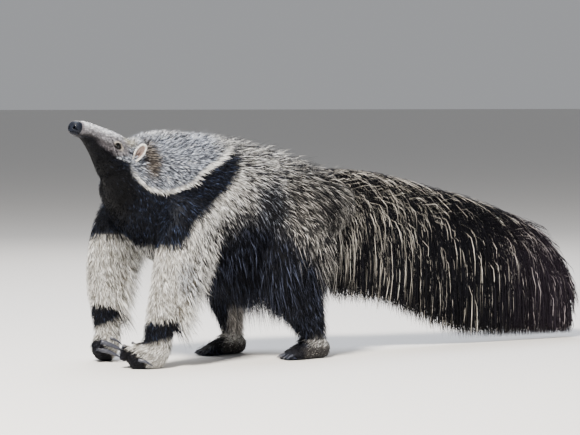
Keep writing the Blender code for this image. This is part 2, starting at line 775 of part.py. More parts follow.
def tail_locks():
    """Two tiers of hanging locks on each side of the tail, a ridge along its top and a brush."""
    made = []
    for sign in SIDES.values():
        for x in np.arange(0.030, 0.790, LOCK_SPACING):
            thick = read(TAIL_CORE, x, 3)
            root = (x + vary(0.006), sign * thick * 0.45, read(TAIL_CORE, x, 2) + 0.030)
            back = 0.045 + 0.055 * x / 0.8 + vary(0.012)
            low = read(TAIL_OUTLINE, min(0.91, x + back), 2) + 0.012 + vary(0.012)
            tip = (x + back, sign * (0.014 + vary(0.010)), low)
            made.append(lock(root, tip, (0, sign, 0), 0.016 + vary(0.004), 0.025, 0.0085, steps=4))
        for x in np.arange(0.015, 0.740, LOCK_SPACING * 1.6):
            thick = read(TAIL_CORE, x, 3)
            root = (x + vary(0.008), sign * thick * 0.5, read(TAIL_CORE, x, 1) - 0.050)
            back = 0.080 + 0.030 * x / 0.8 + vary(0.015)
            middle = (read(TAIL_CORE, x + back, 2) + read(TAIL_OUTLINE, x + back, 2)) / 2
            tip = (x + back, sign * (thick * 0.8 + 0.012 + vary(0.004)), middle + 0.03 + vary(0.02))
            made.append(lock(root, tip, (0, sign, 0), 0.030 + vary(0.003), 0.026, 0.0085))
    for x in np.arange(0.000, 0.790, LOCK_SPACING * 1.2):
        root = (x, vary(0.004), read(TAIL_CORE, x, 1) - 0.018)
        back = 0.105 + vary(0.010)
        tip = (x + back, vary(0.012), read(TAIL_OUTLINE, x + back, 1) - 0.003 + vary(0.003))
        made.append(lock(root, tip, (0, (-1) ** len(made), 0), 0.004, 0.020, 0.015, sweep=0.5))
    for number in range(BRUSH_LOCKS):
        t = number / (BRUSH_LOCKS - 1)
        root = (0.800 - 0.02 * t, vary(0.006), 0.268 - 0.075 * t)
        tip = (0.905 + 0.022 * t**0.5, vary(0.016), 0.205 - 0.165 * t)
        facing = (0.2, (-1) ** number, 0.2)
        made.append(lock(root, tip, facing, 0.008, 0.021, 0.012, sweep=0.45))
    return made


def on_skin(tree, start, towards):
    """The point of the skin first met from `start`, and the way the skin faces there."""
    hit, normal, _, _ = tree.ray_cast(Vector(start), Vector(towards))
    return hit, normal


def skin_lock(tree, start, towards, tip_shift, lift, half_width, ridge, depth=0.014):
    """A lock rooted a little under the skin, with its tip that far from its root."""
    hit, normal = on_skin(tree, start, towards)
    root = hit - normal * depth
    return lock(root, hit + Vector(tip_shift), normal, lift, half_width, ridge)


def crest_lock(tree, x):
    """A blade of the mane that stands on the line of the back and lies backwards."""
    hit, _ = on_skin(tree, (x, vary(0.004), 0.9), (0, 0, -1))
    behind, _ = on_skin(tree, (x + CREST_LENGTH, 0, 0.9), (0, 0, -1))
    tip = behind + Vector((vary(0.006), vary(0.010), CREST_HEIGHT + vary(0.004)))
    root = hit - Vector((0, 0, 0.016))
    way = (0, 1 if random.random() < 0.5 else -1, 0)
    return lock(root, tip, way, 0.003, 0.020, 0.014, sweep=0.5)


def trunk_locks(trunk):
    """The crest along the back, the fringe of the flanks and the hair under the belly."""
    tree = BVHTree.FromObject(trunk, bpy.context.evaluated_depsgraph_get())
    made = [crest_lock(tree, x) for x in np.arange(-0.610, -0.030, CREST_SPACING)]
    for sign in SIDES.values():
        for x in np.arange(-0.480, -0.070, FRINGE_SPACING):
            shift = (0.030 + vary(0.008), sign * 0.004, -0.150 + vary(0.015))
            start = (x, sign * 0.6, 0.345 + vary(0.010))
            made.append(skin_lock(tree, start, (0, -sign, 0), shift, 0.020, 0.027, 0.0090))
        for x in np.arange(-0.500, -0.030, FRINGE_SPACING * 1.15):
            shift = (0.030 + vary(0.01), sign * vary(0.008), -0.095 + vary(0.015))
            start = (x, sign * (0.062 + vary(0.008)), 0.0)
            made.append(skin_lock(tree, start, (0, 0, 1), shift, 0.012, 0.023, 0.0090))
    for x in np.arange(-0.290, -0.040, FRINGE_SPACING * 1.2):
        shift = (0.035, vary(0.010), -0.120 + vary(0.015))
        made.append(skin_lock(tree, (x, vary(0.012), 0.0), (0, 0, 1), shift, 0.008, 0.021, 0.0090))
    return made


def leg_locks(kind, side, leg):
    """The fringe that hangs from the back of a foreleg, or from both edges of a hind leg."""
    tree = BVHTree.FromObject(leg, bpy.context.evaluated_depsgraph_get())
    rows = FORELEG[side] if kind == "foreleg" else HINDLEG[side]
    sign = SIDES[side]
    made = []
    fringe = FORELEG_FRINGE if kind == "foreleg" else HINDLEG_FRINGE
    for height, heading, back, drop, half_width in fringe:
        table = np.array(rows)[::-1]
        x, y = (float(np.interp(height, table[:, 2], table[:, k])) for k in (0, 1))
        turned = math.radians(heading)
        way = Vector((math.cos(turned), sign * math.sin(turned), 0))
        start = Vector((x, y, height)) + way * 0.3
        hit, _ = on_skin(tree, start, -way)
        across = (-way.y, way.x, 0) if len(made) % 2 else (way.y, -way.x, 0)
        tip = hit + way * back + Vector((0.010, 0, -drop + vary(0.006)))
        made.append(lock(hit - way * 0.018, tip, across, 0.004, half_width, 0.011))
    return made


def clear_of(pieces, others):
    """Keeps the locks that stay clear of these nodes, and drops the rest."""
    graph = bpy.context.evaluated_depsgraph_get()
    trees = [BVHTree.FromObject(other, graph) for other in others]
    kept = []
    for piece in pieces:
        around = bmesh.new()
        around.from_mesh(piece.data)
        for vertex in around.verts:
            vertex.normal_update()
        for vertex in around.verts:
            vertex.co += vertex.normal * CLEARANCE
        shape = BVHTree.FromBMesh(around)
        around.free()
        if any(shape.overlap(tree) for tree in trees):
            bpy.data.objects.remove(piece)
        else:
            kept.append(piece)
    print("locks kept", len(kept), "of", len(pieces))
    return kept


def paint(node, colour):
    """Gives the node its own material."""
    (red, green, blue), roughness = COLOURS[colour]
    material = bpy.data.materials.new(f"{node.name}_{colour}")
    material.use_nodes = True
    shader = material.node_tree.nodes["Principled BSDF"]
    shader.inputs["Base Color"].default_value = (red, green, blue, 1)
    shader.inputs["Roughness"].default_value = roughness
    shader.inputs["Metallic"].default_value = 0.0
    node.data.materials.clear()
    node.data.materials.append(material)


def main():
    clear_scene()
    random.seed(13)
    trunk, nodes = part_limbs(body())
    for side, sign in SIDES.items():
        nodes[f"ear_{side}"] = ear(sign)
        place = side_of_head(EYE_PLACE, sign)
        nodes[f"eye_{side}"] = ellipsoid("eye", head_frame(), place, (EYE_RADIUS,) * 3, 12)
        for kind in ("forefoot", "hindfoot"):
            nodes[f"{kind}_{side}"] = foot(kind, side)
        for number in range(len(FORE_CLAWS)):
            made = fore_claw(side, number)
            nodes[made.name] = made
        for number in range(len(HIND_CLAW_SPREAD)):
            made = hind_claw(side, number)
            nodes[made.name] = made
    nodes.update(part_head(head()))
    locks = clear_of(trunk_locks(trunk) + tail_locks(), nodes.values())
    boolean(trunk, locks, "UNION", "MANIFOLD")
    nodes.update(part_trunk(trunk))
    for side in SIDES:
        for kind in ("foreleg", "hindleg"):
            leg = nodes[f"{kind}_{side}"]
            others = [node for node in nodes.values() if node is not leg]
            locks = clear_of(leg_locks(kind, side, leg), others)
            largest_part(boolean(leg, locks, "UNION", "MANIFOLD"))
    for name, node in nodes.items():
        node.name = name
        node.data.transform(Matrix.Translation(-MIDDLE))
        kind = name.split("_")[0]
        paint(node, NODE_COLOURS.get(kind, "coat_black"))
        node.data.shade_smooth()
        node.data.set_sharp_from_angle(angle=math.radians(40))


main()
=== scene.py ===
# Giant anteater, life size: one skin under a coat of hair, with nose pad, eyes, ears and claws.
import math

import bmesh
import bpy
import numpy as np
from mathutils import Matrix, Vector, noise
from mathutils.bvhtree import BVHTree


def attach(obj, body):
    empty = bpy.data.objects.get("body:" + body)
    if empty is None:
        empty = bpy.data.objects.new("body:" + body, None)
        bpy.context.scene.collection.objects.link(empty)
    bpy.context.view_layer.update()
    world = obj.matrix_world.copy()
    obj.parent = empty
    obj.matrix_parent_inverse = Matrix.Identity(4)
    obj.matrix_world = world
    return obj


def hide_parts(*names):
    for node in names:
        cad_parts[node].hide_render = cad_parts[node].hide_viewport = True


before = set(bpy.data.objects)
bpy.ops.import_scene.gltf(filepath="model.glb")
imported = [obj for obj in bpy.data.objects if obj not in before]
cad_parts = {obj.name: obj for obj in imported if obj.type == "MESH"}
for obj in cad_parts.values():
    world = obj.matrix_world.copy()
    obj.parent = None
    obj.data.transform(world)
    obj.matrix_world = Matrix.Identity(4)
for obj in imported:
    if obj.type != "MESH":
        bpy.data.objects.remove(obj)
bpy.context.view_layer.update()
print("frame loaded:", len(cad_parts), "nodes")

# The animal is drawn in its own frame and every piece is moved by this much at the end.
boxMiddle = Vector((0.0116, -0.0074, 0.0))
rng = np.random.default_rng(7)

cameraSetup = {"place": (-3.6216, -6.0546, 0.755), "turn": 30.0, "down": 2.82, "lens": 145.55, "sensor": 36}


def addObject(name, data):
    made = bpy.data.objects.new(name, data)
    bpy.context.scene.collection.objects.link(made)
    return made


def makeCamera(setup):
    data = bpy.data.cameras.new("camera")
    data.sensor_width = setup["sensor"]
    data.lens = setup["lens"]
    camera = addObject("camera", data)
    camera.location = setup["place"]
    camera.rotation_euler = (math.radians(90 - setup["down"]), 0, -math.radians(setup["turn"]))
    bpy.context.scene.camera = camera


makeCamera(cameraSetup)


def hexLinear(text):
    # an sRGB hex value as the linear numbers that a shader takes
    channels = [int(text[i : i + 2], 16) / 255 for i in (0, 2, 4)]
    return tuple(c / 12.92 if c <= 0.04045 else ((c + 0.055) / 1.055) ** 2.4 for c in channels)


# Nodes that one skin and its coat stand for.
fleshNodes = ["chest", "rump", "neck", "head", "tail_base", "tail_middle", "tail_tip"]
fleshNodes += [f"{limb}_{side}" for limb in ("foreleg", "forefoot", "hindleg", "hindfoot")
               for side in ("left", "right")]

# Rows of a loft: centre x, y, z, then half width to the side and half height.
torsoRows = [
    (-0.695, 0, 0.43, 0.06, 0.08), (-0.64, 0, 0.462, 0.11, 0.15), (-0.56, 0, 0.474, 0.142, 0.184),
    (-0.46, 0, 0.464, 0.168, 0.204), (-0.34, 0, 0.446, 0.178, 0.2), (-0.22, 0, 0.432, 0.178, 0.184),
    (-0.1, 0, 0.43, 0.162, 0.156), (0, 0, 0.446, 0.118, 0.114), (0.08, 0, 0.463, 0.078, 0.08),
]
neckRows = [
    (-0.77, -0.092, 0.592, 0.024, 0.032), (-0.738, -0.077, 0.571, 0.043, 0.055),
    (-0.705, -0.06, 0.552, 0.06, 0.075), (-0.672, -0.038, 0.538, 0.084, 0.106),
    (-0.61, -0.014, 0.53, 0.108, 0.138), (-0.53, 0, 0.514, 0.134, 0.16), (-0.45, 0, 0.488, 0.15, 0.172),
]
headRows = [
    (-0.003, 0, 0.001, 0.01, 0.0105), (0, 0, 0.001, 0.015, 0.016), (0.006, 0, 0.0015, 0.0198, 0.0208),
    (0.016, 0, 0.003, 0.0222, 0.0235), (0.026, 0, 0.006, 0.0228, 0.024), (0.04, 0, 0.009, 0.0235, 0.0248),
    (0.08, 0, 0.013, 0.0275, 0.028), (0.12, 0, 0.01, 0.0325, 0.036), (0.16, 0, 0.0078, 0.0395, 0.0432),
    (0.2, 0, 0.0058, 0.046, 0.0482), (0.24, 0, 0.0015, 0.0515, 0.05), (0.28, 0, 0, 0.0565, 0.0545),
    (0.33, 0, 0, 0.065, 0.064), (0.4, 0, -0.008, 0.085, 0.083),
]
throatRows = [
    (0.04, 0, 0.002, 0.014, 0.015), (0.09, 0, -0.003, 0.022, 0.024), (0.14, 0, -0.016, 0.029, 0.032),
    (0.19, 0, -0.034, 0.037, 0.042), (0.25, 0, -0.047, 0.051, 0.053), (0.33, 0, -0.06, 0.07, 0.072),
    (0.4, 0, -0.07, 0.095, 0.105),
]
# The flesh of the tail, far slimmer than its coat.
tailRows = [
    (-0.08, 0, 0.47, 0.08, 0.082), (0.02, 0, 0.468, 0.05, 0.062), (0.1, 0, 0.462, 0.038, 0.05),
    (0.3, 0, 0.422, 0.029, 0.04), (0.5, 0, 0.372, 0.023, 0.032), (0.65, 0, 0.322, 0.018, 0.025),
    (0.76, 0, 0.268, 0.013, 0.018), (0.825, 0, 0.222, 0.007, 0.01),
]
# The outline of the tail's coat: x, height of its upper edge and of the lowest hair tips.
tailOutline = np.array([
    (-0.06, 0.572, 0.3), (0, 0.574, 0.205), (0.04, 0.576, 0.178), (0.13, 0.578, 0.172),
    (0.24, 0.555, 0.152), (0.337, 0.528, 0.105), (0.505, 0.5, 0.05), (0.657, 0.443, 0.026),
    (0.742, 0.399, 0.022), (0.806, 0.352, 0.022), (0.855, 0.3, 0.024), (0.89, 0.23, 0.026),
    (0.92, 0.15, 0.03), (0.932, 0.11, 0.034),
])
forelegRows = {
    "left": [
        (-0.472, -0.04, 0.528, 0.02, 0.03), (-0.48, -0.07, 0.5, 0.044, 0.072),
        (-0.505, -0.124, 0.425, 0.068, 0.098), (-0.542, -0.138, 0.32, 0.062, 0.086),
        (-0.575, -0.137, 0.225, 0.054, 0.07), (-0.6, -0.132, 0.15, 0.047, 0.056),
        (-0.614, -0.128, 0.1, 0.042, 0.047), (-0.62, -0.126, 0.05, 0.04, 0.046),
    ],
    "right": [
        (-0.505, 0.04, 0.52, 0.02, 0.03), (-0.53, 0.07, 0.49, 0.044, 0.072),
        (-0.592, 0.118, 0.415, 0.066, 0.092), (-0.636, 0.124, 0.31, 0.058, 0.08),
        (-0.656, 0.122, 0.22, 0.05, 0.066), (-0.661, 0.118, 0.15, 0.043, 0.05),
        (-0.661, 0.115, 0.1, 0.04, 0.043), (-0.661, 0.113, 0.05, 0.038, 0.042),
    ],
}
hindlegRows = {
    "left": [
        (-0.1, -0.032, 0.495, 0.02, 0.034), (-0.11, -0.062, 0.458, 0.044, 0.08),
        (-0.15, -0.118, 0.38, 0.069, 0.11), (-0.182, -0.132, 0.295, 0.062, 0.096),
        (-0.162, -0.133, 0.205, 0.05, 0.078), (-0.13, -0.129, 0.13, 0.042, 0.058),
        (-0.108, -0.124, 0.08, 0.037, 0.046), (-0.1, -0.122, 0.04, 0.034, 0.042),
    ],
    "right": [
        (-0.12, 0.032, 0.488, 0.02, 0.034), (-0.132, 0.062, 0.45, 0.044, 0.08),
        (-0.2, 0.112, 0.37, 0.066, 0.104), (-0.262, 0.118, 0.285, 0.056, 0.084),
        (-0.268, 0.114, 0.2, 0.045, 0.062), (-0.256, 0.11, 0.12, 0.035, 0.044),
        (-0.25, 0.106, 0.08, 0.033, 0.038), (-0.248, 0.104, 0.04, 0.032, 0.036),
    ],
}
forefootRows = {
    "left": [
        (-0.59, -0.127, 0.03, 0.024, 0.028), (-0.605, -0.127, 0.036, 0.036, 0.042),
        (-0.64, -0.123, 0.036, 0.042, 0.046), (-0.675, -0.116, 0.028, 0.038, 0.038),
        (-0.702, -0.108, 0.02, 0.024, 0.024),
    ],
    "right": [
        (-0.632, 0.116, 0.03, 0.024, 0.028), (-0.645, 0.115, 0.036, 0.034, 0.042),
        (-0.668, 0.112, 0.036, 0.04, 0.046), (-0.686, 0.106, 0.028, 0.036, 0.036),
        (-0.7, 0.102, 0.02, 0.024, 0.024),
    ],
}
hindfootRows = {
    "left": [
        (-0.05, -0.122, 0.02, 0.02, 0.022), (-0.072, -0.122, 0.026, 0.03, 0.034),
        (-0.115, -0.123, 0.026, 0.036, 0.036), (-0.16, -0.125, 0.016, 0.042, 0.024),
        (-0.192, -0.126, 0.01, 0.036, 0.016),
    ],
    "right": [
        (-0.208, 0.104, 0.02, 0.02, 0.022), (-0.23, 0.104, 0.026, 0.028, 0.032),
        (-0.27, 0.103, 0.026, 0.034, 0.034), (-0.315, 0.101, 0.016, 0.04, 0.023),
        (-0.348, 0.1, 0.01, 0.034, 0.015),
    ],
}
# Fore claws: root and tip as how far back of the foot's front, inwards and up; then the radius.
foreClaws = [
    (0.034, 0.032, 0.066, 0.064, 0.044, 0.046, 0.0042), (0.006, 0.03, 0.056, 0.068, 0.052, 0.026, 0.0085),
    (-0.004, 0.024, 0.036, 0.056, 0.054, 0.012, 0.008),
    (0.02, -0.04, 0.024, 0.052, -0.058, 0.008, 0.0052),
]
hindClaws = {"spread": [-0.026, -0.014, 0, 0.014, 0.026], "length": 0.024, "radius": 0.0042}
sides = {"left": -1, "right": 1}

headSetup = {
    "tip": Vector((-0.898, -0.163, 0.685)),
    "turn": math.radians(30),
    "rise": math.radians(20),
    "noseLength": 0.020,
    "eye": Vector((0.178, 0.0330, 0.006)),
    "eyeRadius": 0.0100,
    "ear": Vector((0.2455, 0.0655, 0.008)),
    "look": Vector((-0.50, 0.86, 0.06)),
    "mouthDepth": 0.0120,
    "mouthLength": 0.040,
}


def headFrame(setup):
    # +X runs back from the nose tip, +Y to the animal's right, +Z up
    turn, rise = setup["turn"], setup["rise"]
    back = Vector((math.cos(turn) * math.cos(rise), math.sin(turn) * math.cos(rise), -math.sin(rise)))
    right = Vector((-math.sin(turn), math.cos(turn), 0))
    turned = Matrix((back, right, back.cross(right))).transposed().to_4x4()
    return Matrix.Translation(setup["tip"]) @ turned


headPlace = headFrame(headSetup)
headInverse = headPlace.inverted()


def through(points, matrix):
    m = np.array(matrix)
    return points @ m[:3, :3].T + m[:3, 3]


def inHead(points):
    return through(points, headInverse)


def ofHead(place, sign):
    return Vector((place.x, place.y * sign, place.z))


def smoothRows(rows, spacing):
    # rows read along a Catmull-Rom curve, about `spacing` apart
    table = np.array(rows, float)
    padded = np.vstack([2 * table[0] - table[1], table, 2 * table[-1] - table[-2]])
    found = []
    for i in range(len(table) - 1):
        p0, p1, p2, p3 = padded[i : i + 4]
        steps = max(1, round(np.linalg.norm((p2 - p1)[:3]) / spacing))
        for k in range(steps):
            t = k / steps
            bend = (2 * p0 - 5 * p1 + 4 * p2 - p3) * t**2 + (3 * p1 - p0 - 3 * p2 + p3) * t**3
            found.append(0.5 * (2 * p1 + (p2 - p0) * t + bend))
    return np.array(found + [table[-1]])


def tubeFaces(rings, around):
    # a closed tube over rings of points, whose last two points close its ends
    last, hub = (rings - 1) * around, rings * around
    faces = []
    for k in range(around):
        n = (k + 1) % around
        for ring in range(0, last, around):
            faces.append((ring + k, ring + n, ring + around + n, ring + around + k))
        faces += [(hub, n, k), (hub + 1, last + k, last + n)]
    return faces


def loft(rows, grow=0.0, place=None, around=24, spacing=0.015):
    # a closed skin over elliptical sections that stand square to the line of their centres
    table, least = smoothRows(rows, spacing), 0.003
    centres = table[:, :3].copy()
    along = np.gradient(centres, axis=0)
    along /= np.linalg.norm(along, axis=1)[:, None]
    across = np.array((0.0, 1.0, 0.0)) - along * along[:, 1:2]
    across /= np.linalg.norm(across, axis=1)[:, None]
    upward = np.cross(along, across)
    centres[0] -= along[0] * grow
    centres[-1] += along[-1] * grow
    turn = np.linspace(0, 2 * math.pi, around, endpoint=False)
    wide = np.maximum(table[:, 3] + grow, least)[:, None, None] * np.cos(turn)[None, :, None]
    tall = np.maximum(table[:, 4] + grow, least)[:, None, None] * np.sin(turn)[None, :, None]
    rings = centres[:, None] + across[:, None] * wide + upward[:, None] * tall
    points = np.vstack([rings.reshape(-1, 3), centres[:1], centres[-1:]])
    return (points if place is None else through(points, place)), tubeFaces(len(table), around)


def cellsOf(shape):
    # faces by vertex, always in one order: bmesh makes its balls' faces in an order that varies
    cells = []
    for face in shape.faces:
        cell = [v.index for v in face.verts]
        start = cell.index(min(cell))
        cells.append(tuple(cell[start:] + cell[:start]))
    return sorted(cells)


def ball(centre, radii, place=None, around=20, turn=None):
    # a closed ball stretched along the axes of its frame
    shape = bmesh.new()
    bmesh.ops.create_uvsphere(shape, u_segments=around, v_segments=around // 2, radius=1)
    m = (place or Matrix.Identity(4)) @ Matrix.Translation(centre) @ (turn or Matrix.Identity(4))
    m = m @ Matrix.Diagonal((*radii, 1))
    shape.transform(m)
    points = np.array([v.co[:] for v in shape.verts])
    faces = cellsOf(shape)
    shape.free()
    return points, faces


def pile(name, shapes):
    # one object holding all these closed shapes
    points, faces, start = [], [], 0
    for more, cells in shapes:
        points.append(np.asarray(more))
        faces += [tuple(i + start for i in cell) for cell in cells]
        start += len(more)
    mesh = bpy.data.meshes.new(name)
    mesh.from_pydata(np.vstack(points).tolist(), [], faces)
    whole = bmesh.new()
    whole.from_mesh(mesh)
    bmesh.ops.recalc_face_normals(whole, faces=whole.faces)
    whole.to_mesh(mesh)
    whole.free()
    return addObject(name, mesh)


def bake(thing):
    graph = bpy.context.evaluated_depsgraph_get()
    mesh = bpy.data.meshes.new_from_object(thing.evaluated_get(graph))
    thing.modifiers.clear()
    thing.data = mesh
    return thing


def melt(thing, voxel, rounds):
    # blends overlapping shapes into one smooth closed skin
    remesh = thing.modifiers.new("remesh", "REMESH")
    remesh.mode = "VOXEL"
    remesh.voxel_size = voxel
    smooth = thing.modifiers.new("smooth", "SMOOTH")
    smooth.iterations = rounds
    return bake(thing)


def cut(target, tool, operation="DIFFERENCE"):
    modifier = target.modifiers.new("cut", "BOOLEAN")
    modifier.operation = operation
    modifier.object = tool
    modifier.solver = "MANIFOLD"
    bake(target)
    bpy.data.objects.remove(tool)
    return target


# How far the skin lies under the solids' surface, which stands for the short coat.
coatDepth = {"head": 0.0016, "throat": 0.003, "neck": 0.011, "torso": 0.013, "leg": 0.008, "foot": 0.003,
             "nape": 0.0045, "gorge": 0.0065}
skinSetup = {"bodyVoxel": 0.0065, "headVoxel": 0.0016, "bodySmooth": 5, "headSmooth": 6, "headKeep": 0.42,
             "sole": 0.0004}
digitSetup = {"pad": 0.0045, "hindPad": (0.020, 0.0075, 0.0100), "hindUp": 0.0085, "hindArc": 0.35}


def vertexArray(mesh, key="co"):
    values = np.zeros(len(mesh.vertices) * 3, np.float32)
    mesh.vertices.foreach_get(key, values)
    return values.reshape(-1, 3).astype(float)


def setVertices(mesh, points):
    mesh.vertices.foreach_set("co", points.astype(np.float32).ravel())


def bodySkin():
    shapes = [
        loft(torsoRows, -coatDepth["torso"]),
        loft(neckRows, -coatDepth["neck"]),
        loft(tailRows),
        loft(headRows[10:], -coatDepth["nape"], headPlace, spacing=0.008),
        loft(throatRows[4:], -coatDepth["gorge"], headPlace, spacing=0.008),
    ]
    for side, sign in sides.items():
        shapes += [loft(rows[side], -coatDepth["leg"]) for rows in (forelegRows, hindlegRows)]
        shapes += [loft(rows[side], -coatDepth["foot"]) for rows in (forefootRows, hindfootRows)]
        toe = forefootRows[side][-1]
        for back, inward, up, *rest in foreClaws:
            size = rest[-1] + digitSetup["pad"]
            centre = (toe[0] + back + 0.002, toe[1] - sign * inward * 0.80, up * 0.90)
            shapes.append(ball(centre, (size * 1.25, size * 1.05, size)))
        toe = hindfootRows[side][-1]
        for aside in hindClaws["spread"]:
            centre = (toe[0] + digitSetup["hindArc"] * abs(aside), toe[1] + aside, digitSetup["hindUp"])
            shapes.append(ball(centre, digitSetup["hindPad"]))
    skin = melt(pile("skin", shapes), skinSetup["bodyVoxel"], skinSetup["bodySmooth"])
    points = vertexArray(skin.data)
    points[:, 2] = np.maximum(points[:, 2], skinSetup["sole"])  # the soles are flat on the floor
    setVertices(skin.data, points)
    return skin


eyeLook = {"length": 0.0082, "height": 0.0062, "lean": math.radians(-8), "rim": 0.0017, "sides": 30,
           "rimGrow": 1.14, "rimOut": 0.0014, "socket": 0.0002, "bank": 0.0030}


def eyeFrame(sign):
    # +Z looks out of the eye, +X runs along the lids towards the back corner, +Y up
    out = ofHead(headSetup["look"], sign).normalized()
    back = Vector((1, 0, 0))
    back = (back - out * back.dot(out)).normalized()
    up = out.cross(back) * -sign
    turned = Matrix((back, up, out)).transposed().to_4x4()
    return headPlace @ Matrix.Translation(ofHead(headSetup["eye"], sign)) @ turned


def lidOutline(t, grow=1.0):
    x = math.cos(t) * eyeLook["length"] * grow
    y = math.copysign(abs(math.sin(t)) ** 1.15, math.sin(t)) * eyeLook["height"] * grow
    c, s = math.cos(eyeLook["lean"]), math.sin(eyeLook["lean"])
    return x * c - y * s, x * s + y * c


def lidOpening(sign):
    # what lies between the lids: a rounded lens, pointed a little at both corners
    place, count = eyeFrame(sign), eyeLook["sides"]
    outline = [lidOutline(2 * math.pi * k / count) for k in range(count)]
    points = [place @ Vector((x, y, z)) for z in (0.0, 0.03) for x, y in outline]
    faces = [tuple(range(count)), tuple(range(2 * count - 1, count - 1, -1))]
    for k in range(count):
        m = (k + 1) % count
        faces.append((k, m, count + m, count + k))
    return np.array([p[:] for p in points]), faces


def lidEdge(sign):
    # a rolled edge along both lids, on a ball just over the eye, thinner at the corners
    shapes, radius = [], headSetup["eyeRadius"] + eyeLook["rimOut"]
    for k in range(eyeLook["sides"]):
        t = 2 * math.pi * k / eyeLook["sides"]
        x, y = lidOutline(t, eyeLook["rimGrow"])
        size = eyeLook["rim"] * (0.7 + 0.3 * abs(math.sin(t)))
        spot = eyeFrame(sign) @ Vector((x, y, math.sqrt(radius**2 - x**2 - y**2)))
        shapes.append(ball(spot, (size,) * 3, around=8))
    return shapes


# Folds round the eye as lines in the eye's own plane: points, half width, depth.
eyeFolds = [
    ([lidOutline(math.radians(a), 1.55) for a in range(15, 170, 9)], 0.0011, 0.0014),
    ([(-0.0100, -0.0030), (-0.0092, -0.0076), (-0.0039, -0.0115), (0.0020, -0.0160), (0.0079, -0.0211)],
     0.0017, 0.0032),
    ([(-0.0249, 0.0115), (-0.0190, 0.0055), (-0.0130, 0.0000), (-0.0105, -0.0040)], 0.0014, 0.0022),
    ([lidOutline(math.radians(a), 1.65) for a in range(215, 335, 9)], 0.0010, 0.0010),
    ([(0.0120, 0.0010), (0.0165, -0.0010), (0.0205, -0.0045)], 0.0010, 0.0011),
    ([(0.0110, 0.0050), (0.0160, 0.0060), (0.0200, 0.0050)], 0.0009, 0.0009),
]


def lineDistance(spots, line):
    # how far each flat point is from a line of flat points
    best = np.full(len(spots), 1e9)
    for start, end in zip(np.array(line[:-1]), np.array(line[1:])):
        along = end - start
        t = np.clip(((spots - start) @ along) / (along @ along), 0, 1)
        best = np.minimum(best, np.linalg.norm(spots - start - t[:, None] * along, axis=1))
    return best


def roundEye(points):
    # each point in the plane of its own eye: x, y, and how many lid openings it lies from the middle
    best = np.full((len(points), 3), 50.0)
    c, s = math.cos(eyeLook["lean"]), math.sin(eyeLook["lean"])
    for sign in sides.values():
        x, y, out = through(points, eyeFrame(sign).inverted()).T
        size = np.hypot((x * c + y * s) / eyeLook["length"], (y * c - x * s) / eyeLook["height"])
        closer = (size < best[:, 2]) & (out > -0.006) & (out < 0.03)
        best[closer] = np.stack([x, y, size], axis=1)[closer]
    return best.T


def foldDepth(points):
    # how deep the folds round the eyes are at these points
    found = np.zeros(len(points))
    for sign in sides.values():
        local = through(points, eyeFrame(sign).inverted())
        facing = (local[:, 2] > -0.004) & (local[:, 2] < 0.03)
        for line, wide, depth in eyeFolds:
            away = lineDistance(local[:, :2], line)
            found = np.maximum(found, depth * np.exp(-((away / wide) ** 2)) * facing)
    return found


# Soft strokes that model the head after its parts are blended: place, reach, push (head frame).
headStrokes = [
    ((0.150, 0.044, -0.004), (0.018, 0.012, 0.014), (0.0, -0.0042, 0.0)),   # hollow before the eye
    ((0.120, 0.036, 0.020), (0.040, 0.012, 0.008), (0.0, -0.0022, -0.001)), # flat side of the snout
    ((0.196, 0.044, 0.024), (0.026, 0.016, 0.008), (0.0, 0.0030, 0.0010)),  # brow
    ((0.205, 0.050, -0.020), (0.030, 0.020, 0.018), (0.0, 0.0028, 0.0)),    # cheek
    ((0.226, 0.052, 0.004), (0.012, 0.014, 0.020), (0.0, -0.0030, 0.0)),    # dip before the ear
    ((0.070, 0.026, -0.006), (0.040, 0.014, 0.006), (0.0, -0.0014, 0.0)),   # crease over the jaw
    ((0.028, 0.000, 0.030), (0.010, 0.030, 0.020), (0.0, 0.0, -0.0010)),    # step behind the nose pad
]


def model(thing, strokes):
    points = vertexArray(thing.data)
    local = inHead(points)
    m = np.array(headPlace.to_3x3())
    for sign in sides.values():
        flip = np.array((1, sign, 1))
        for place, reach, push in strokes:
            away = (((local - np.array(place) * flip) / np.array(reach)) ** 2).sum(1)
            points = points + np.exp(-away)[:, None] * (m @ (np.array(push) * flip))[None]
    setVertices(thing.data, points)


# Rounded parts of the head beside its lofts: centre, radii, sides. The first is the bank round the eye.
bank = headSetup["eyeRadius"] + eyeLook["bank"]
headBalls = [
    (headSetup["eye"], (bank * 1.10, bank, bank), 32),
    (headSetup["eye"] + Vector((0.012, -0.004, 0.006)), (0.022, 0.010, 0.012), 20),
    (Vector((0.0065, 0.0085, 0.002)), (0.0085, 0.0085, 0.0095), 20),
    (headSetup["ear"] + Vector((0.010, -0.018, -0.022)), (0.014, 0.011, 0.014), 20),
]
nostrils = {"open": ((-0.0005, 0.0085, -0.0008), (0.0080, 0.0036, 0.0048), 16),
            "comma": ((0.0030, 0.0128, -0.0034), (0.0055, 0.0056, 0.0014), 12)}
mouth = {"front": -0.02, "wide": 0.04, "thick": 0.0008, "slope": 0.06}


def mouthSlit():
    corners = [(x, y, z - headSetup["mouthDepth"] + mouth["slope"] * x)
               for x in (mouth["front"], headSetup["mouthLength"])
               for y in (-mouth["wide"], mouth["wide"]) for z in (-mouth["thick"], mouth["thick"])]
    cells = [(0, 1, 3, 2), (4, 6, 7, 5), (0, 4, 5, 1), (2, 3, 7, 6), (0, 2, 6, 4), (1, 5, 7, 3)]
    return np.array([(headPlace @ Vector(c))[:] for c in corners]), cells


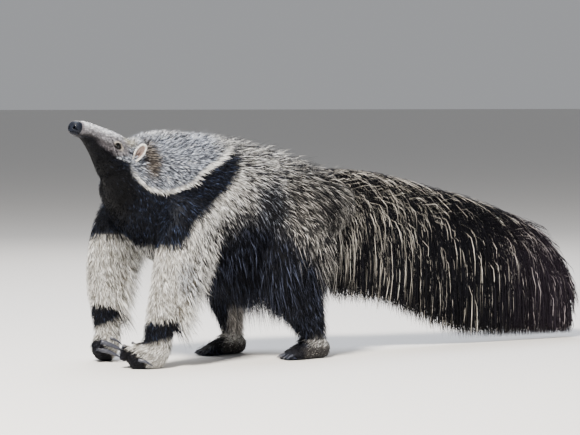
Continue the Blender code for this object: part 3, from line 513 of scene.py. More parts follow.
def headSkin():
    headEnd = [(0.315, 0.0, 0.0, 0.0550, 0.0540), (0.335, 0.0, 0.0, 0.040, 0.040)]
    throatEnd = [(0.300, 0.0, -0.055, 0.058, 0.060), (0.325, 0.0, -0.057, 0.040, 0.044)]
    shapes = [
        loft(headRows[:-2] + headEnd, -coatDepth["head"], headPlace, around=40, spacing=0.005),
        loft(throatRows[:5] + throatEnd, -coatDepth["throat"], headPlace, around=40, spacing=0.006),
    ]
    for sign in sides.values():
        shapes += [ball(ofHead(spot, sign), radii, headPlace, around) for spot, radii, around in headBalls]
    base = melt(pile("headBase", shapes), skinSetup["headVoxel"], skinSetup["headSmooth"])
    model(base, headStrokes)
    shapes = [(vertexArray(base.data), [tuple(p.vertices) for p in base.data.polygons])]
    bpy.data.objects.remove(base)
    for sign in sides.values():
        shapes += lidEdge(sign)
    whole = melt(pile("headSkin", shapes), skinSetup["headVoxel"] * 0.85, 2)
    points = vertexArray(whole.data)
    points -= vertexArray(whole.data, "normal") * foldDepth(points)[:, None]
    setVertices(whole.data, points)
    tools = []
    for sign in sides.values():
        socket = headSetup["eyeRadius"] + eyeLook["socket"]
        tools += [ball(ofHead(headSetup["eye"], sign), (socket,) * 3, headPlace, around=32), lidOpening(sign)]
        lean = Matrix.Rotation(math.radians(-35 * sign), 4, "Z")
        tools += [ball(ofHead(Vector(spot), sign), radii, headPlace, around, lean)
                  for spot, radii, around in nostrils.values()]
    for tool in [*tools, mouthSlit()]:
        cut(whole, pile("tool", [tool]))
    slim = whole.modifiers.new("slim", "DECIMATE")
    slim.ratio = skinSetup["headKeep"]
    return bake(whole)


def splitNose(whole):
    # the bare nose pad is its own piece, parted from the head at one flat ring
    pieces = []
    for keepFront in (False, True):
        shape = bmesh.new()
        shape.from_mesh(whole.data)
        spot = headPlace @ Vector((headSetup["noseLength"], 0, 0))
        facing = (headPlace.to_3x3() @ Vector((1, 0, 0))).normalized()
        geometry = shape.verts[:] + shape.edges[:] + shape.faces[:]
        found = bmesh.ops.bisect_plane(shape, geom=geometry, plane_co=spot, plane_no=facing,
                                       clear_inner=not keepFront, clear_outer=keepFront)
        edges = [e for e in found["geom_cut"] if isinstance(e, bmesh.types.BMEdge)]
        bmesh.ops.holes_fill(shape, edges=edges, sides=0)
        bmesh.ops.triangulate(shape, faces=[f for f in shape.faces if len(f.verts) > 4])
        mesh = bpy.data.meshes.new("part")
        shape.to_mesh(mesh)
        shape.free()
        pieces.append(mesh)
    return pieces


print("skin: body")
skin = bodySkin()
print("skin: head")
headWhole = headSkin()
headMesh, noseMesh = splitNose(headWhole)
bpy.data.objects.remove(headWhole)


def joinMeshes(name, meshes):
    whole = bmesh.new()
    for mesh in meshes:
        whole.from_mesh(mesh)
    made = bpy.data.meshes.new(name)
    whole.to_mesh(made)
    whole.free()
    return made


skin.data = joinMeshes("skin", [skin.data, headMesh])
nosePad = addObject("nosePad", noseMesh)
print("skin faces:", len(skin.data.polygons))


# The regions that a point can belong to.
part = {name: k for k, name in enumerate(["trunk", "neck", "head", "tail", "foreleg", "hindleg"])}


def regionTables():
    tables = [(part[name], smoothRows(rows, 0.02))
              for name, rows in (("trunk", torsoRows), ("neck", neckRows), ("tail", tailRows))]
    for rows in (headRows, throatRows):
        table = smoothRows(rows, 0.02)
        table[:, :3] = through(table[:, :3], headPlace)
        tables.append((part["head"], table))
    for side in sides:
        tables.append((part["foreleg"], smoothRows(forelegRows[side][2:], 0.02)))
        tables.append((part["hindleg"], smoothRows(hindlegRows[side][2:], 0.02)))
    return tables


def regionOf(points):
    best = np.full(len(points), 1e9)
    found = np.zeros(len(points), int)
    for region, table in regionTables():
        for row in table:
            size = (row[3] + row[4]) / 2
            away = np.linalg.norm(points - row[:3], axis=1) / size
            closer = away < best
            best[closer] = away[closer]
            found[closer] = region
    return found


def ramp(value, low, high):
    t = np.clip((value - low) / (high - low), 0, 1)
    return t * t * (3 - 2 * t)


# The white line over the dark band, and the band's lower edge: x and z on the side of the body.
whiteLine = np.array([(-0.760, 0.600), (-0.695, 0.570), (-0.680, 0.538), (-0.640, 0.509), (-0.608, 0.496),
                      (-0.568, 0.494), (-0.535, 0.506), (-0.498, 0.522), (-0.479, 0.543), (-0.448, 0.564),
                      (-0.407, 0.583), (-0.373, 0.606), (-0.350, 0.622)])
bandLow = np.array([(-0.760, 0.360), (-0.620, 0.351), (-0.591, 0.347), (-0.568, 0.359), (-0.553, 0.383),
                    (-0.541, 0.408), (-0.520, 0.429), (-0.495, 0.449), (-0.458, 0.469), (-0.417, 0.504),
                    (-0.383, 0.537), (-0.370, 0.557), (-0.353, 0.588), (-0.340, 0.622)])


def awayFrom(line, x, z):
    # signed distance from a line that runs along x: positive above it
    slope = np.gradient(line[:, 1], line[:, 0])
    steep = np.interp(x, line[:, 0], slope)
    return (z - np.interp(x, line[:, 0], line[:, 1])) / np.sqrt(1 + steep**2)


# Colours of the coat. The two sheen colours are painted highlights: bluish glints on black hair laid into the
# hair's own colour.
coatColours = {
    "speckLight": "c6cedc", "speckDark": "1c1e27",
    "line": "fbf9f2",
    "black": "0c0d12", "paintedSheen": "38425a", "paintedSheenLow": "4a5063",
    "saltLight": "f0efe9", "saltDark": "1d1d23",
    "rumpLight": "d6d2ca", "rumpDark": "17171b",
    "straw": "d8d2c6", "tailDark": "0f0f14", "tailEnd": "221d24", "tailEndLight": "a89fa2",
    "cream": "fffdf6", "creamShade": "59544a",
    "snoutSilverAndHighlight": "eceef2", "snoutDark": "75737a", "face": "a7a5aa", "faceDark": "302e30",
    "jaw": "08080b", "jawLight": "2a2e3a", "muzzle": "8b858a", "lidPale": "ddd2c4", "lidRimAndCreaseShade": "0d0b0c",
    "nape": "e2dcc4", "napeDark": "5c5747", "earPatch": "3c3632", "earPatchLight": "8c8275",
    "heel": "c4bfba", "heelDark": "3c3938", "toe": "131318", "toeLight": "33353f",
}
tone = {name: np.array(hexLinear(value)) for name, value in coatColours.items()}


# Where salt and pepper turns black low on the flank, and the jaw's dark edge on the head.
darkFlank = np.array([(-0.520, 0.210), (-0.468, 0.290), (-0.416, 0.360), (-0.357, 0.412), (-0.304, 0.415),
                      (-0.258, 0.390), (-0.211, 0.350), (-0.161, 0.300), (-0.089, 0.230), (0.020, 0.200)])
jawEdge = np.array([(0.000, -0.022), (0.030, -0.016), (0.040, -0.0105), (0.060, -0.005), (0.080, -0.003),
                    (0.100, -0.0055), (0.120, -0.009), (0.140, -0.014), (0.160, -0.020), (0.180, -0.028),
                    (0.200, -0.0345), (0.220, -0.038), (0.320, -0.041)])


def near(u, v, place, reach):
    # 1 inside an ellipse, falling softly to 0 outside it
    return ramp(-np.hypot((u - place[0]) / reach[0], (v - place[1]) / reach[1]), -1.5, -0.6)


def markings(points, region):
    # dark and light colour of the hairs rooted at these points, and how much of the coat is light
    x, y, z = points.T
    count = len(points)
    dark = np.tile(tone["saltDark"], (count, 1))
    light = np.tile(tone["saltLight"], (count, 1))
    share = np.full(count, 0.5)

    def lay(mask, darkName, lightName, lightShare):
        nonlocal dark, light, share
        m = np.clip(mask, 0, 1)
        dark = dark * (1 - m[:, None]) + tone[darkName] * m[:, None]
        light = light * (1 - m[:, None]) + tone[lightName] * m[:, None]
        share = share * (1 - m) + lightShare * m

    aboveLine = awayFrom(whiteLine, x, z) - 0.007  # the roots lie above where their hair ends
    aboveBand = awayFrom(bandLow, x, z)
    aboveDark = awayFrom(darkFlank, x, z)
    # salt and pepper behind the shoulder, thinner towards the hips, black low on the flank with pale strokes
    # of painted sheen
    lay(ramp(x, -0.40, -0.32), "saltDark", "saltLight", 0.37)
    lay(ramp(-aboveDark, -0.110, -0.020) * ramp(x, -0.50, -0.42), "saltDark", "saltLight", 0.27)
    lay(near(x, z, (-0.275, 0.455), (0.045, 0.060)), "rumpDark", "speckLight", 0.16)
    lay(ramp(x, -0.235, -0.20) * ramp(-z, -0.62, -0.52), "rumpDark", "rumpLight", 0.30)
    lay(near(x, z, (-0.052, 0.47), (0.030, 0.070)), "rumpDark", "rumpLight", 0.12)
    lay(ramp(x, -0.040, 0.0), "rumpDark", "rumpLight", 0.32)
    lay(ramp(-aboveDark, -0.050, 0.014) * ramp(x, -0.54, -0.46), "black", "paintedSheenLow", 0.26)
    border = ramp(-aboveBand, -0.008, 0.004) * ramp(aboveBand, -0.060, -0.006) * ramp(-x, 0.335, 0.38)
    lay(border * ramp(z, 0.33, 0.37), "saltDark", "line", 0.90)
    # bluish speckle over neck and shoulder, whiter along the mane
    over = ramp(aboveLine, -0.004, 0.004) * ramp(-x, 0.36, 0.44)
    lay(over, "speckDark", "speckLight", 0.56)
    lay(ramp(z, 0.640, 0.676) * ramp(-x, 0.30, 0.42), "speckDark", "line", 0.34)
    # dark band from the chest to the back, its pale strokes a painted bluish sheen
    band = ramp(-aboveLine, -0.003, 0.003) * ramp(aboveBand, -0.004, 0.004) * ramp(-x, 0.340, 0.366)
    lay(band, "black", "paintedSheen", 0.22)
    chin = ramp(-x, 0.650, 0.700) * ramp(-aboveLine, 0.0, 0.02) * (region != part["foreleg"])
    lay(chin, "jaw", "jawLight", 0.10)
    line = ramp(-np.abs(aboveLine), -0.0065, -0.0030) * ramp(-x, 0.360, 0.378) * ramp(x, -0.695, -0.672)
    lay(line, "line", "line", 1.0)
    # forelegs: white, with a slanting black wrist and black digits; the wrist's pale strokes are painted
    # sheen
    fore, hind = region == part["foreleg"], region == part["hindleg"]
    nearSide = y < 0
    cream = ramp(np.where(nearSide, 0.352, 0.372) - z, -0.004, 0.006) * ramp(-x, 0.45, 0.49) * fore
    lay(cream, "creamShade", "cream", 0.72)
    lay(cream * ramp(x, -0.560, -0.515) * ramp(z, 0.14, 0.26), "saltDark", "cream", 0.56)
    grey = near(x, z, (-0.555, 0.265), (0.030, 0.050)) * cream
    lay(grey * 0.7, "creamShade", "speckLight", 0.55)
    back = np.clip((x - np.where(nearSide, -0.668, -0.705)) / 0.085, 0, 1)
    bandTop = np.where(nearSide, 0.136 + 0.008 * back, 0.172 - 0.016 * back)
    bandFoot = np.where(nearSide, 0.068 + 0.026 * back, 0.098 + 0.046 * back)
    wrist = ramp(bandTop - z, -0.003, 0.004) * ramp(z - bandFoot, -0.003, 0.004) * fore
    lay(wrist, "black", "paintedSheen", 0.15)
    tipward = np.where(nearSide, -x - 0.676, -x - 0.668) + np.clip(0.032 - z, -0.02, 0.03) * 0.6
    lay(ramp(tipward, -0.004, 0.004) * fore * ramp(0.075 - z, -0.004, 0.010), "toe", "toeLight", 0.2)
    # hind legs: black with pale strokes of painted sheen, and greyer heels and ankles
    lay(hind * np.maximum(ramp(-aboveDark, -0.034, 0.010), ramp(-z, -0.26, -0.20)), "black", "paintedSheenLow", 0.26)
    shank = hind * ramp(x - np.where(nearSide, -0.085, -0.278), -0.006, 0.010) * ramp(0.165 - z, -0.02, 0.03)
    lay(shank * np.where(nearSide, 0.4, 1.0), "heelDark", "heel", 0.92)
    ankle = hind * ramp(-np.abs(z - 0.052), -0.026, -0.010)
    lay(ankle * ramp(x - np.where(nearSide, -0.130, -0.290), -0.01, 0.02) * 0.9, "heelDark", "cream", 0.55)
    lay(hind * ramp(0.034 - z, -0.010, 0.008), "toe", "heel", 0.20)
    toes = ramp(np.where(nearSide, -0.150, -0.305) - x, -0.008, 0.008) * ramp(0.05 - z, 0, 0.01)
    lay(hind * toes, "toe", "toeLight", 0.25)
    # tail
    tail = (region == part["tail"]) * ramp(x, -0.01, 0.05)
    lay(tail, "tailDark", "straw", 0.20)
    lay(tail * ramp(x, 0.26, 0.50), "tailDark", "straw", 0.15)
    lay(tail * ramp(x, 0.55, 0.85), "tailEnd", "tailEndLight", 0.22)
    # head: silvery over the snout with a painted highlight along its top, black jaw and throat, grizzled
    # cheek and nape
    back, right, up = inHead(points).T
    isHead = (region == part["head"]) * ramp(-back, -0.315, -0.285)
    lay(isHead, "faceDark", "face", 0.62)
    # the top of the snout: silvery hair, painted paler still as a highlight where the light falls on it
    lay(isHead * ramp(up - np.interp(back, [0.02, 0.10, 0.20], [0.012, 0.020, 0.034]), -0.006, 0.012)
        * ramp(-back, -0.250, -0.17), "snoutDark", "snoutSilverAndHighlight", 0.74)
    lay(isHead * ramp(back, 0.205, 0.235), "speckDark", "speckLight", 0.40)
    underJaw = np.interp(back, jawEdge[:, 0], jawEdge[:, 1]) - up
    lay(isHead * ramp(underJaw, -0.018, -0.002), "jaw", "faceDark", 0.75)
    lay(isHead * ramp(underJaw, -0.005, 0.006), "jaw", "jawLight", 0.10)
    eye = headSetup["eye"]
    underEye = near(back, up, (eye.x - 0.035, eye.z - 0.012), (0.040, 0.010))
    lay(isHead * underEye * 0.6, "faceDark", "muzzle", 0.5)
    across, above, openings = roundEye(points)
    paleLid = ramp(-openings, -2.15, -1.85) * ramp(above + 0.5 * across, -0.010, 0.000)
    lay(isHead * paleLid, "lidPale", "lidPale", 0.5)
    lay(isHead * ramp(-openings, -1.50, -1.34), "lidRimAndCreaseShade", "lidRimAndCreaseShade", 0.3)
    # painted shade: the hair darkens where the folds round the eyes run deep
    lay(isHead * ramp(foldDepth(points), 0.0006, 0.0020), "lidRimAndCreaseShade", "lidRimAndCreaseShade", 0.2)
    lay(isHead * ramp(-back, -0.034, -0.022) * ramp(up, -0.010, 0.006), "faceDark", "muzzle", 0.6)
    cheek = near(back, up, (0.285, -0.030), (0.036, 0.030)) * (1 - fore)
    lay(cheek, "speckDark", "speckLight", 0.55)
    lay(near(x, z, (-0.618, 0.590), (0.022, 0.046)) * (x < -0.5) * 0.9, "earPatch", "earPatchLight", 0.34)
    lay(near(x, z, (-0.672, 0.652), (0.030, 0.022)) * 0.8, "napeDark", "nape", 0.62)
    return dark, light, np.clip(share, 0, 1)


def paintSkin(thing):
    # the skin carries the coat's own markings, a little darker
    points = vertexArray(thing.data)
    region = regionOf(points)
    dark, light, share = markings(points, region)
    mixed = dark * (1 - share[:, None]) + light * share[:, None]
    mixed *= np.where(region == part["head"], 0.75, 0.35)[:, None]
    layer = thing.data.color_attributes.new("tint", "FLOAT_COLOR", "POINT")
    layer.data.foreach_set("color", np.hstack([mixed, np.ones((len(points), 1))]).astype(np.float32).ravel())


paintSkin(skin)
print("skin painted")


def skinSurface(thing):
    # triangles of the skin, their areas and smooth normals, for rooting hair
    mesh = thing.data
    mesh.calc_loop_triangles()
    cells = np.zeros(len(mesh.loop_triangles) * 3, np.int32)
    mesh.loop_triangles.foreach_get("vertices", cells)
    cells = cells.reshape(-1, 3)
    points = vertexArray(mesh)
    normals = vertexArray(mesh, "normal")
    a, b, c = points[cells[:, 0]], points[cells[:, 1]], points[cells[:, 2]]
    area = np.linalg.norm(np.cross(b - a, c - a), axis=1) / 2
    centre = (a + b + c) / 3
    return {"cells": cells, "points": points, "normals": normals, "area": area, "centre": centre,
            "region": regionOf(centre)}


surface = skinSurface(skin)
skinTree = BVHTree.FromObject(skin, bpy.context.evaluated_depsgraph_get())


def rootHair(count, density):
    # points spread over the skin by area and by this density for each triangle
    weight = surface["area"] * density
    weight = weight / weight.sum()
    chosen = rng.choice(len(weight), count, p=weight)
    r1, r2 = np.sqrt(rng.random(count)), rng.random(count)
    mix = np.stack([1 - r1, r1 * (1 - r2), r1 * r2], axis=1)[:, :, None]
    cells = surface["cells"][chosen]
    roots = (surface["points"][cells] * mix).sum(1)
    normals = (surface["normals"][cells] * mix).sum(1)
    normals /= np.linalg.norm(normals, axis=1)[:, None]
    return roots, normals, surface["region"][chosen]


def unit(v):
    return v / np.maximum(np.linalg.norm(v, axis=-1, keepdims=True), 1e-9)


def lieOf(points, normals, region):
    # which way the coat lies, laid flat on the skin
    x, y, z = points.T
    topLine = np.interp(x, [-0.75, -0.56, -0.34, -0.10, 0.08], [0.62, 0.66, 0.645, 0.59, 0.545])
    low = np.clip((topLine - z) / 0.34, 0, 1)
    slant = np.radians(16 + 62 * low**0.75)
    flow = np.stack([np.cos(slant), np.zeros_like(x), -np.sin(slant)], axis=1)
    front = ramp(-x, 0.56, 0.68)[:, None] * ramp(-z, -0.56, -0.46)[:, None]
    flow = flow * (1 - front) + np.array((0.25, 0, -0.95)) * front
    limb = (region >= part["foreleg"])[:, None]
    legs = limb * ramp(-z, -0.42, -0.30)[:, None]
    flow = flow * (1 - legs) + np.array((0.22, 0, -1.0)) * legs
    feet = limb * ramp(-z, -0.085, -0.050)[:, None]
    flow = flow * (1 - feet) + np.array((-0.95, 0, -0.5)) * feet
    head = (region == part["head"])[:, None].astype(float)
    backward = np.array(headPlace.to_3x3().col[0])
    flow = flow * (1 - head) + (backward + np.array((0, 0, -0.25))) * head
    flow = unit(flow)
    return unit(flow - normals * (flow * normals).sum(1)[:, None] + 1e-6)


def layHair(roots, normals, region, length, height, steps, wander):
    # paths that run over the skin along the lie and rise off it towards their tips
    count = len(roots)
    paths = np.zeros((count, steps + 1, 3))
    paths[:, 0] = roots - normals * 0.0015
    here, facing = roots.copy(), normals.copy()
    veer = rng.normal(0, wander, (count, 3))
    for step in range(1, steps + 1):
        lie = unit(lieOf(here, facing, region) + veer)
        lie = unit(lie - facing * (lie * facing).sum(1)[:, None])
        target = here + lie * (length / steps)[:, None]
        t = step / steps
        rise = height * (0.40 + 0.60 * t) * min(1.0, t * 1.8)
        for i in range(count):
            hit, normal, _, _ = skinTree.find_nearest(target[i])
            here[i] = hit
            facing[i] = normal
        paths[:, step] = here + facing * rise[:, None]
    return paths


def hangHair(roots, normals, lean, length, outward, steps, spread):
    # paths that leave the skin, bend over and hang; `lean` is where their tips drift
    count = len(roots)
    paths = np.zeros((count, steps + 1, 3))
    paths[:, 0] = roots - normals * 0.002
    drift = unit(lean + rng.normal(0, spread, (count, 3)))
    start = unit(normals * outward + drift * (1 - outward))
    here = roots.copy()
    for step in range(1, steps + 1):
        t = step / steps
        way = unit(start * (1 - t) ** 1.5 + drift * (1 - (1 - t) ** 1.5))
        here = here + way * (length / steps)[:, None]
        paths[:, step] = here
    return paths


def pushOut(paths, clear=0.003):
    # no hair runs inside the skin or through the floor
    for step in range(1, paths.shape[1]):
        spots = paths[:, step]
        for i in range(len(spots)):
            hit, normal, _, _ = skinTree.find_nearest(spots[i])
            if (Vector(spots[i]) - hit).dot(normal) < clear:
                spots[i] = hit + normal * clear
    paths[:, 1:, 2] = np.maximum(paths[:, 1:, 2], 0.006)
    return paths


def limbAxis(rows, z, *columns):
    # these columns of a limb's rows, read at these heights
    table = np.array(rows)[::-1]
    return [np.interp(z, table[:, 2], table[:, k]) for k in columns]


def unwrap(points, region):
    # place of each root on an unwrap of the skin: along each part of the body and round it
    x, y, z = points.T
    u, v = np.zeros(len(points)), np.zeros(len(points))

    def place(mask, across, upward):
        u[mask], v[mask] = across[mask], upward[mask]

    def around(aside, above):
        return np.arctan2(aside, above) / (2 * math.pi) + 0.5

    for name, rows, low, wide in (("trunk", torsoRows, 0.0, 0.62), ("neck", neckRows, 0.63, 0.36),
                                  ("tail", tailRows, 0.0, 1.0)):
        rows = np.array(rows)
        axisY, axisZ = (np.interp(x, rows[:, 0], rows[:, k]) for k in (1, 2))
        first, last = rows[0, 0] - 0.05, rows[-1, 0] + 0.06
        place(region == part[name], low + wide * np.clip((x - first) / (last - first), 0, 1),
              around(y - axisY, z - axisZ))
    back, right, up = inHead(points).T
    place(region == part["head"], back / 0.36, around(right, up))
    for name, both, low in (("foreleg", forelegRows, 0.0), ("hindleg", hindlegRows, 0.5)):
        for side, sign in sides.items():
            axisX, axisY = limbAxis(both[side], z, 0, 1)
            place((region == part[name]) & (y * sign > 0),
                  around(y - axisY, x - axisX) * 0.48 + (0.51 if sign > 0 else 0.0),
                  low + 0.49 * np.clip(z / 0.55, 0, 1))
    return np.clip(np.stack([u, v], axis=1), 0.003, 0.997)


coatWidth = {"free": 0.180, "most": 0.209}


def drawIn(paths):
    # hair that stands far out to the sides is pressed softly back towards the body
    free, room = coatWidth["free"], coatWidth["most"] - coatWidth["free"]
    aside = paths[:, :, 1] - boxMiddle[1]
    out = np.abs(aside)
    pressed = coatWidth["most"] - room * np.exp(-(out - free) / room)
    paths[:, :, 1] = np.where(out > free, boxMiddle[1] + np.sign(aside) * pressed, paths[:, :, 1])
    return paths


tuftSetup = {"roll": 0.35, "flat": 0.7, "patch": 0.003}


def tuftMesh(name, paths, wide, roots, normals, region, tones, shape="lock"):
    # one closed three-sided tuft along each path, with its own colours and its patch of the unwrap
    paths = drawIn(paths)
    count, rings = paths.shape[0], paths.shape[1] - 1
    direction = unit(np.gradient(paths, axis=1))
    facing = unit(normals + rng.normal(0, tuftSetup["roll"], normals.shape))[:, None, :]
    across = unit(np.cross(direction, np.broadcast_to(facing, direction.shape)))
    raised = unit(np.cross(across, direction))
    t = np.linspace(0, 1, rings + 1)[None, :rings]
    if shape == "lock":
        taper = (0.55 + 0.45 * np.sin(np.pi * np.minimum(1, t * 1.5 + 0.15))) * (1 - t**2.2 * 0.85)
    else:
        taper = 0.55 + 0.45 * np.sin(np.pi * np.minimum(0.62, t * 0.85))
    half = (wide[:, None] * taper / 2)[:, :, None]
    ring = np.stack([
        paths[:, :rings] + across[:, :rings] * half,
        paths[:, :rings] + raised[:, :rings] * half * tuftSetup["flat"],
        paths[:, :rings] - across[:, :rings] * half,
    ], axis=2)
    points = np.concatenate([ring.reshape(count, rings * 3, 3), paths[:, rings:]], axis=1)
    perTuft = rings * 3 + 1
    cells = [[0, 1, 2]]
    for k in range(0, rings * 3 - 3, 3):
        cells += [[k + j, k + 3 + j, k + 3 + (j + 1) % 3, k + (j + 1) % 3] for j in range(3)]
    last = (rings - 1) * 3
    cells += [[last + j, perTuft - 1, last + (j + 1) % 3] for j in range(3)]
    sizes = [len(cell) for cell in cells]
    corner = np.array([i for cell in cells for i in cell])
    loops = (corner[None, :] + (np.arange(count) * perTuft)[:, None]).ravel()
    starts = np.concatenate([[0], np.cumsum(sizes)[:-1]])
    loopStart = (starts[None, :] + (np.arange(count) * len(corner))[:, None]).ravel()
    mesh = bpy.data.meshes.new(name)
    mesh.vertices.add(count * perTuft)
    mesh.vertices.foreach_set("co", points.astype(np.float32).ravel())
    mesh.loops.add(len(loops))
    mesh.loops.foreach_set("vertex_index", loops.astype(np.int32))
    mesh.polygons.add(len(loopStart))
    mesh.polygons.foreach_set("loop_start", loopStart.astype(np.int32))
    mesh.update(calc_edges=True)
    mesh.polygons.foreach_set("use_smooth", np.ones(len(loopStart), bool))
    ringOf = np.concatenate([np.repeat(np.arange(rings), 3), [rings]])
    colours = np.concatenate([tones[:, ringOf], np.ones((count, perTuft, 1))], axis=2)
    layer = mesh.color_attributes.new("tint", "FLOAT_COLOR", "POINT")
    layer.data.foreach_set("color", colours.astype(np.float32).ravel())
    aside = np.concatenate([np.tile([-0.5, 0.0, 0.5], rings), [0.0]])
    offset = np.stack([ringOf / rings - 0.5, aside], axis=1) * tuftSetup["patch"]
    places = (unwrap(roots, region)[:, None, :] + offset[None]).reshape(-1, 2)
    uv = mesh.uv_layers.new(name="OFBake")
    uv.data.foreach_set("uv", places[loops].astype(np.float32).ravel())
    mesh.materials.append(hairMaterial)
    coatPieces.append(addObject(name, mesh))
    print("coat", name, count, "tufts,", count * (6 * rings - 2), "triangles")


def clumped(roots, size):
    # neighbouring hairs share a shade, as damp or dusty fur does: about -0.5 to 0.5
    return np.array([noise.noise(Vector(p) / size) for p in roots])


def vary(colours, amount):
    shade = 1 + rng.normal(0, amount, (len(colours), 1, 1))
    return np.clip(colours * shade, 0.002, 1.0)


def bandedTones(roots, region, steps, lift=1.0):
    # each hair is dark with one pale band, longer where the coat is paler, as in agouti fur
    dark, light, share = markings(roots, region)
    shade = clumped(roots, 0.0065)
    share = np.clip(share * lift + 0.45 * shade * (share < 0.93) * (share > 0.3), 0, 1)
    count = len(roots)
    t = np.linspace(0, 1, steps + 1)[None, :]
    middle = rng.uniform(0.35, 1.05, (count, 1))
    half = 0.10 + 0.34 * share[:, None]
    band = np.clip((half - np.abs(t - middle)) / 0.16 + 0.5, 0, 1)
    band *= rng.random((count, 1)) < np.minimum(1, share[:, None] * 1.55)
    plain = share[:, None] > 0.93
    band = np.where(plain, 1.0, band)
    band[:, 0] *= 0.35
    tones = dark[:, None] * (1 - band[:, :, None]) + light[:, None] * band[:, :, None]
    mottle = np.where(region == part["head"], 1.1, 0.7) * shade + 0.25 * clumped(roots, 0.0025)
    return vary(tones * np.maximum(1 + mottle, 0.15)[:, None, None], 0.20)


def newMaterial(name):
    # an empty material and the function that adds its nodes
    material = bpy.data.materials.new(name)
    material.use_nodes = True
    tree = material.node_tree
    tree.nodes.clear()

    def add(kind, settings=None, links=None):
        # one shader node: its settings by name or input, and the sockets that feed its inputs
        node = tree.nodes.new("ShaderNode" + kind)
        for key, value in (settings or {}).items():
            if isinstance(key, int) or key in node.inputs:
                node.inputs[key].default_value = value
            else:
                setattr(node, key, value)
        for key, source in (links or {}).items():
            tree.links.new(source, node.inputs[key])
        return node

    return material, add


def addRamp(add, source, stops):
    # the colours that stand at these places along the source's value
    node = add("ValToRGB", links={"Fac": source})
    elements = node.color_ramp.elements
    while len(elements) < len(stops):
        elements.new(0.5)
    for element, (at, value) in zip(elements, stops):
        element.position = at
        element.color = (*hexLinear(value), 1)
    return node.outputs["Color"]


def addBump(add, strength, distance, height):
    return add("Bump", {"Strength": strength, "Distance": distance}, {"Height": height}).outputs["Normal"]


def finishMaterial(add, settings, colour, normal, links=None):
    links = {"Base Color": colour, "Normal": normal, **(links or {})}
    shader = add("BsdfPrincipled", settings, links)
    add("OutputMaterial", links={"Surface": shader.outputs["BSDF"]})


def dress(thing, material):
    thing.data.materials.clear()
    thing.data.materials.append(material)
    for polygon in thing.data.polygons:
        polygon.use_smooth = True
    return thing


def guardHair():
    # keratin guard hair, smooth-scaled: a satin streak that varies along each hair
    material, add = newMaterial("guardHair")
    tint = add("VertexColor", {"layer_name": "tint"}).outputs["Color"]
    place = add("TexCoord").outputs["Object"]
    grain = add("TexNoise", {"Scale": 420.0, "Detail": 2.0}, {"Vector": place}).outputs["Fac"]
    gloss = add("MapRange", {"To Min": 0.34, "To Max": 0.56}, {"Value": grain}).outputs["Result"]
    finishMaterial(add, {"IOR": 1.55, "Specular IOR Level": 0.07}, tint, addBump(add, 0.25, 0.0004, grain),
                   {"Roughness": gloss})
    return material


def furredSkin():
    # hide under short dense fur: hairs about 0.1 mm thick, drawn eight times coarser to show
    material, add = newMaterial("furredSkin")
    tint = add("VertexColor", {"layer_name": "tint"}).outputs["Color"]
    place = add("TexCoord").outputs["Object"]
    lie = {"Scale": (110.0, 850.0, 850.0), "Rotation": (0.0, math.radians(18), math.radians(-28))}
    drawn = add("Mapping", lie, {"Vector": place}).outputs["Vector"]
    hairs = add("TexNoise", {"Scale": 1.0, "Detail": 3.0, "Roughness": 0.6}, {"Vector": drawn}).outputs["Fac"]
    patches = add("TexNoise", {"Scale": 45.0, "Detail": 2.0}, {"Vector": place}).outputs["Fac"]
    shades = [add("MapRange", {"From Min": 0.3, "From Max": 0.7, "To Min": low, "To Max": high},
                  {"Value": source}).outputs["Result"]
              for source, low, high in ((hairs, 0.55, 1.35), (patches, 0.88, 1.1))]
    both = add("Math", {"operation": "MULTIPLY"}, dict(enumerate(shades))).outputs["Value"]
    shaded = add("VectorMath", {"operation": "SCALE"}, {"Vector": tint, "Scale": both}).outputs["Vector"]
    finishMaterial(add, {"Roughness": 0.62, "Specular IOR Level": 0.10}, shaded,
                   addBump(add, 0.45, 0.0008, hairs))
    return material


coatPieces = []
hairMaterial = guardHair()
dress(skin, furredSkin())
amount = 1.0

centre, region = surface["centre"], surface["region"]
cx, cy, cz = centre.T
headBack, headRight, headUp = inHead(centre).T
isHead, isFore, isHind = (region == part[name] for name in ("head", "foreleg", "hindleg"))
isTrunk = (region == part["trunk"]) | (region == part["neck"])


def finishCoat(name, paths, wide, roots, normals, region, lift=1.0):
    wide = wide * rng.uniform(0.7, 1.3, len(roots))
    tuftMesh(name, paths, wide, roots, normals, region, bandedTones(roots, region, paths.shape[1] - 1, lift))


def growLying(name, count, density, lengthOf, heightOf, wide, steps=2, wander=0.18):
    roots, normals, region = rootHair(int(count * amount), density)
    length = lengthOf(roots) * rng.uniform(0.72, 1.2, len(roots))
    height = heightOf(roots) * rng.uniform(0.6, 1.25, len(roots))
    paths = layHair(roots, normals, region, length, height, steps, wander)
    paths[:, 1:, 2] = np.maximum(paths[:, 1:, 2], 0.0015)  # clear of the floor
    finishCoat(name, paths, wide, roots, normals, region)


def clearOfFeatures():
    # no fur on the nose, the lids, the lips or the ears' own skin
    def away(spot, sign):
        x, y, z = ofHead(spot, sign)
        return np.sqrt((headBack - x) ** 2 + (headRight - y) ** 2 + (headUp - z) ** 2)

    keep = np.ones(len(centre))
    for sign in sides.values():
        keep *= (away(headSetup["eye"], sign) > 0.0105) | (roundEye(centre)[2] > 1.5)
        keep *= ramp(away(headSetup["ear"] + earSetup["upward"] * -0.020, sign), 0.012, 0.020)
    keep *= headBack > headSetup["noseLength"] + 0.0015
    lips = (headBack < 0.045) & (np.abs(headUp + headSetup["mouthDepth"]) < 0.003)
    return keep * ~lips


# the leaf of the ear stands up and outwards, its cup open to the front
earSetup = {"long": 0.0290, "wide": 0.0108, "cup": 0.0095, "thick": 0.0020, "roll": 0.0016, "fold": 0.0016,
            "upward": Vector((0.02, 0.47, 0.88)), "facing": Vector((-0.72, 0.62, -0.02)),
            "around": 44, "rings": 12, "rimCount": 700, "backCount": 350, "shadowLockCount": 80, "hair": 0.0011}

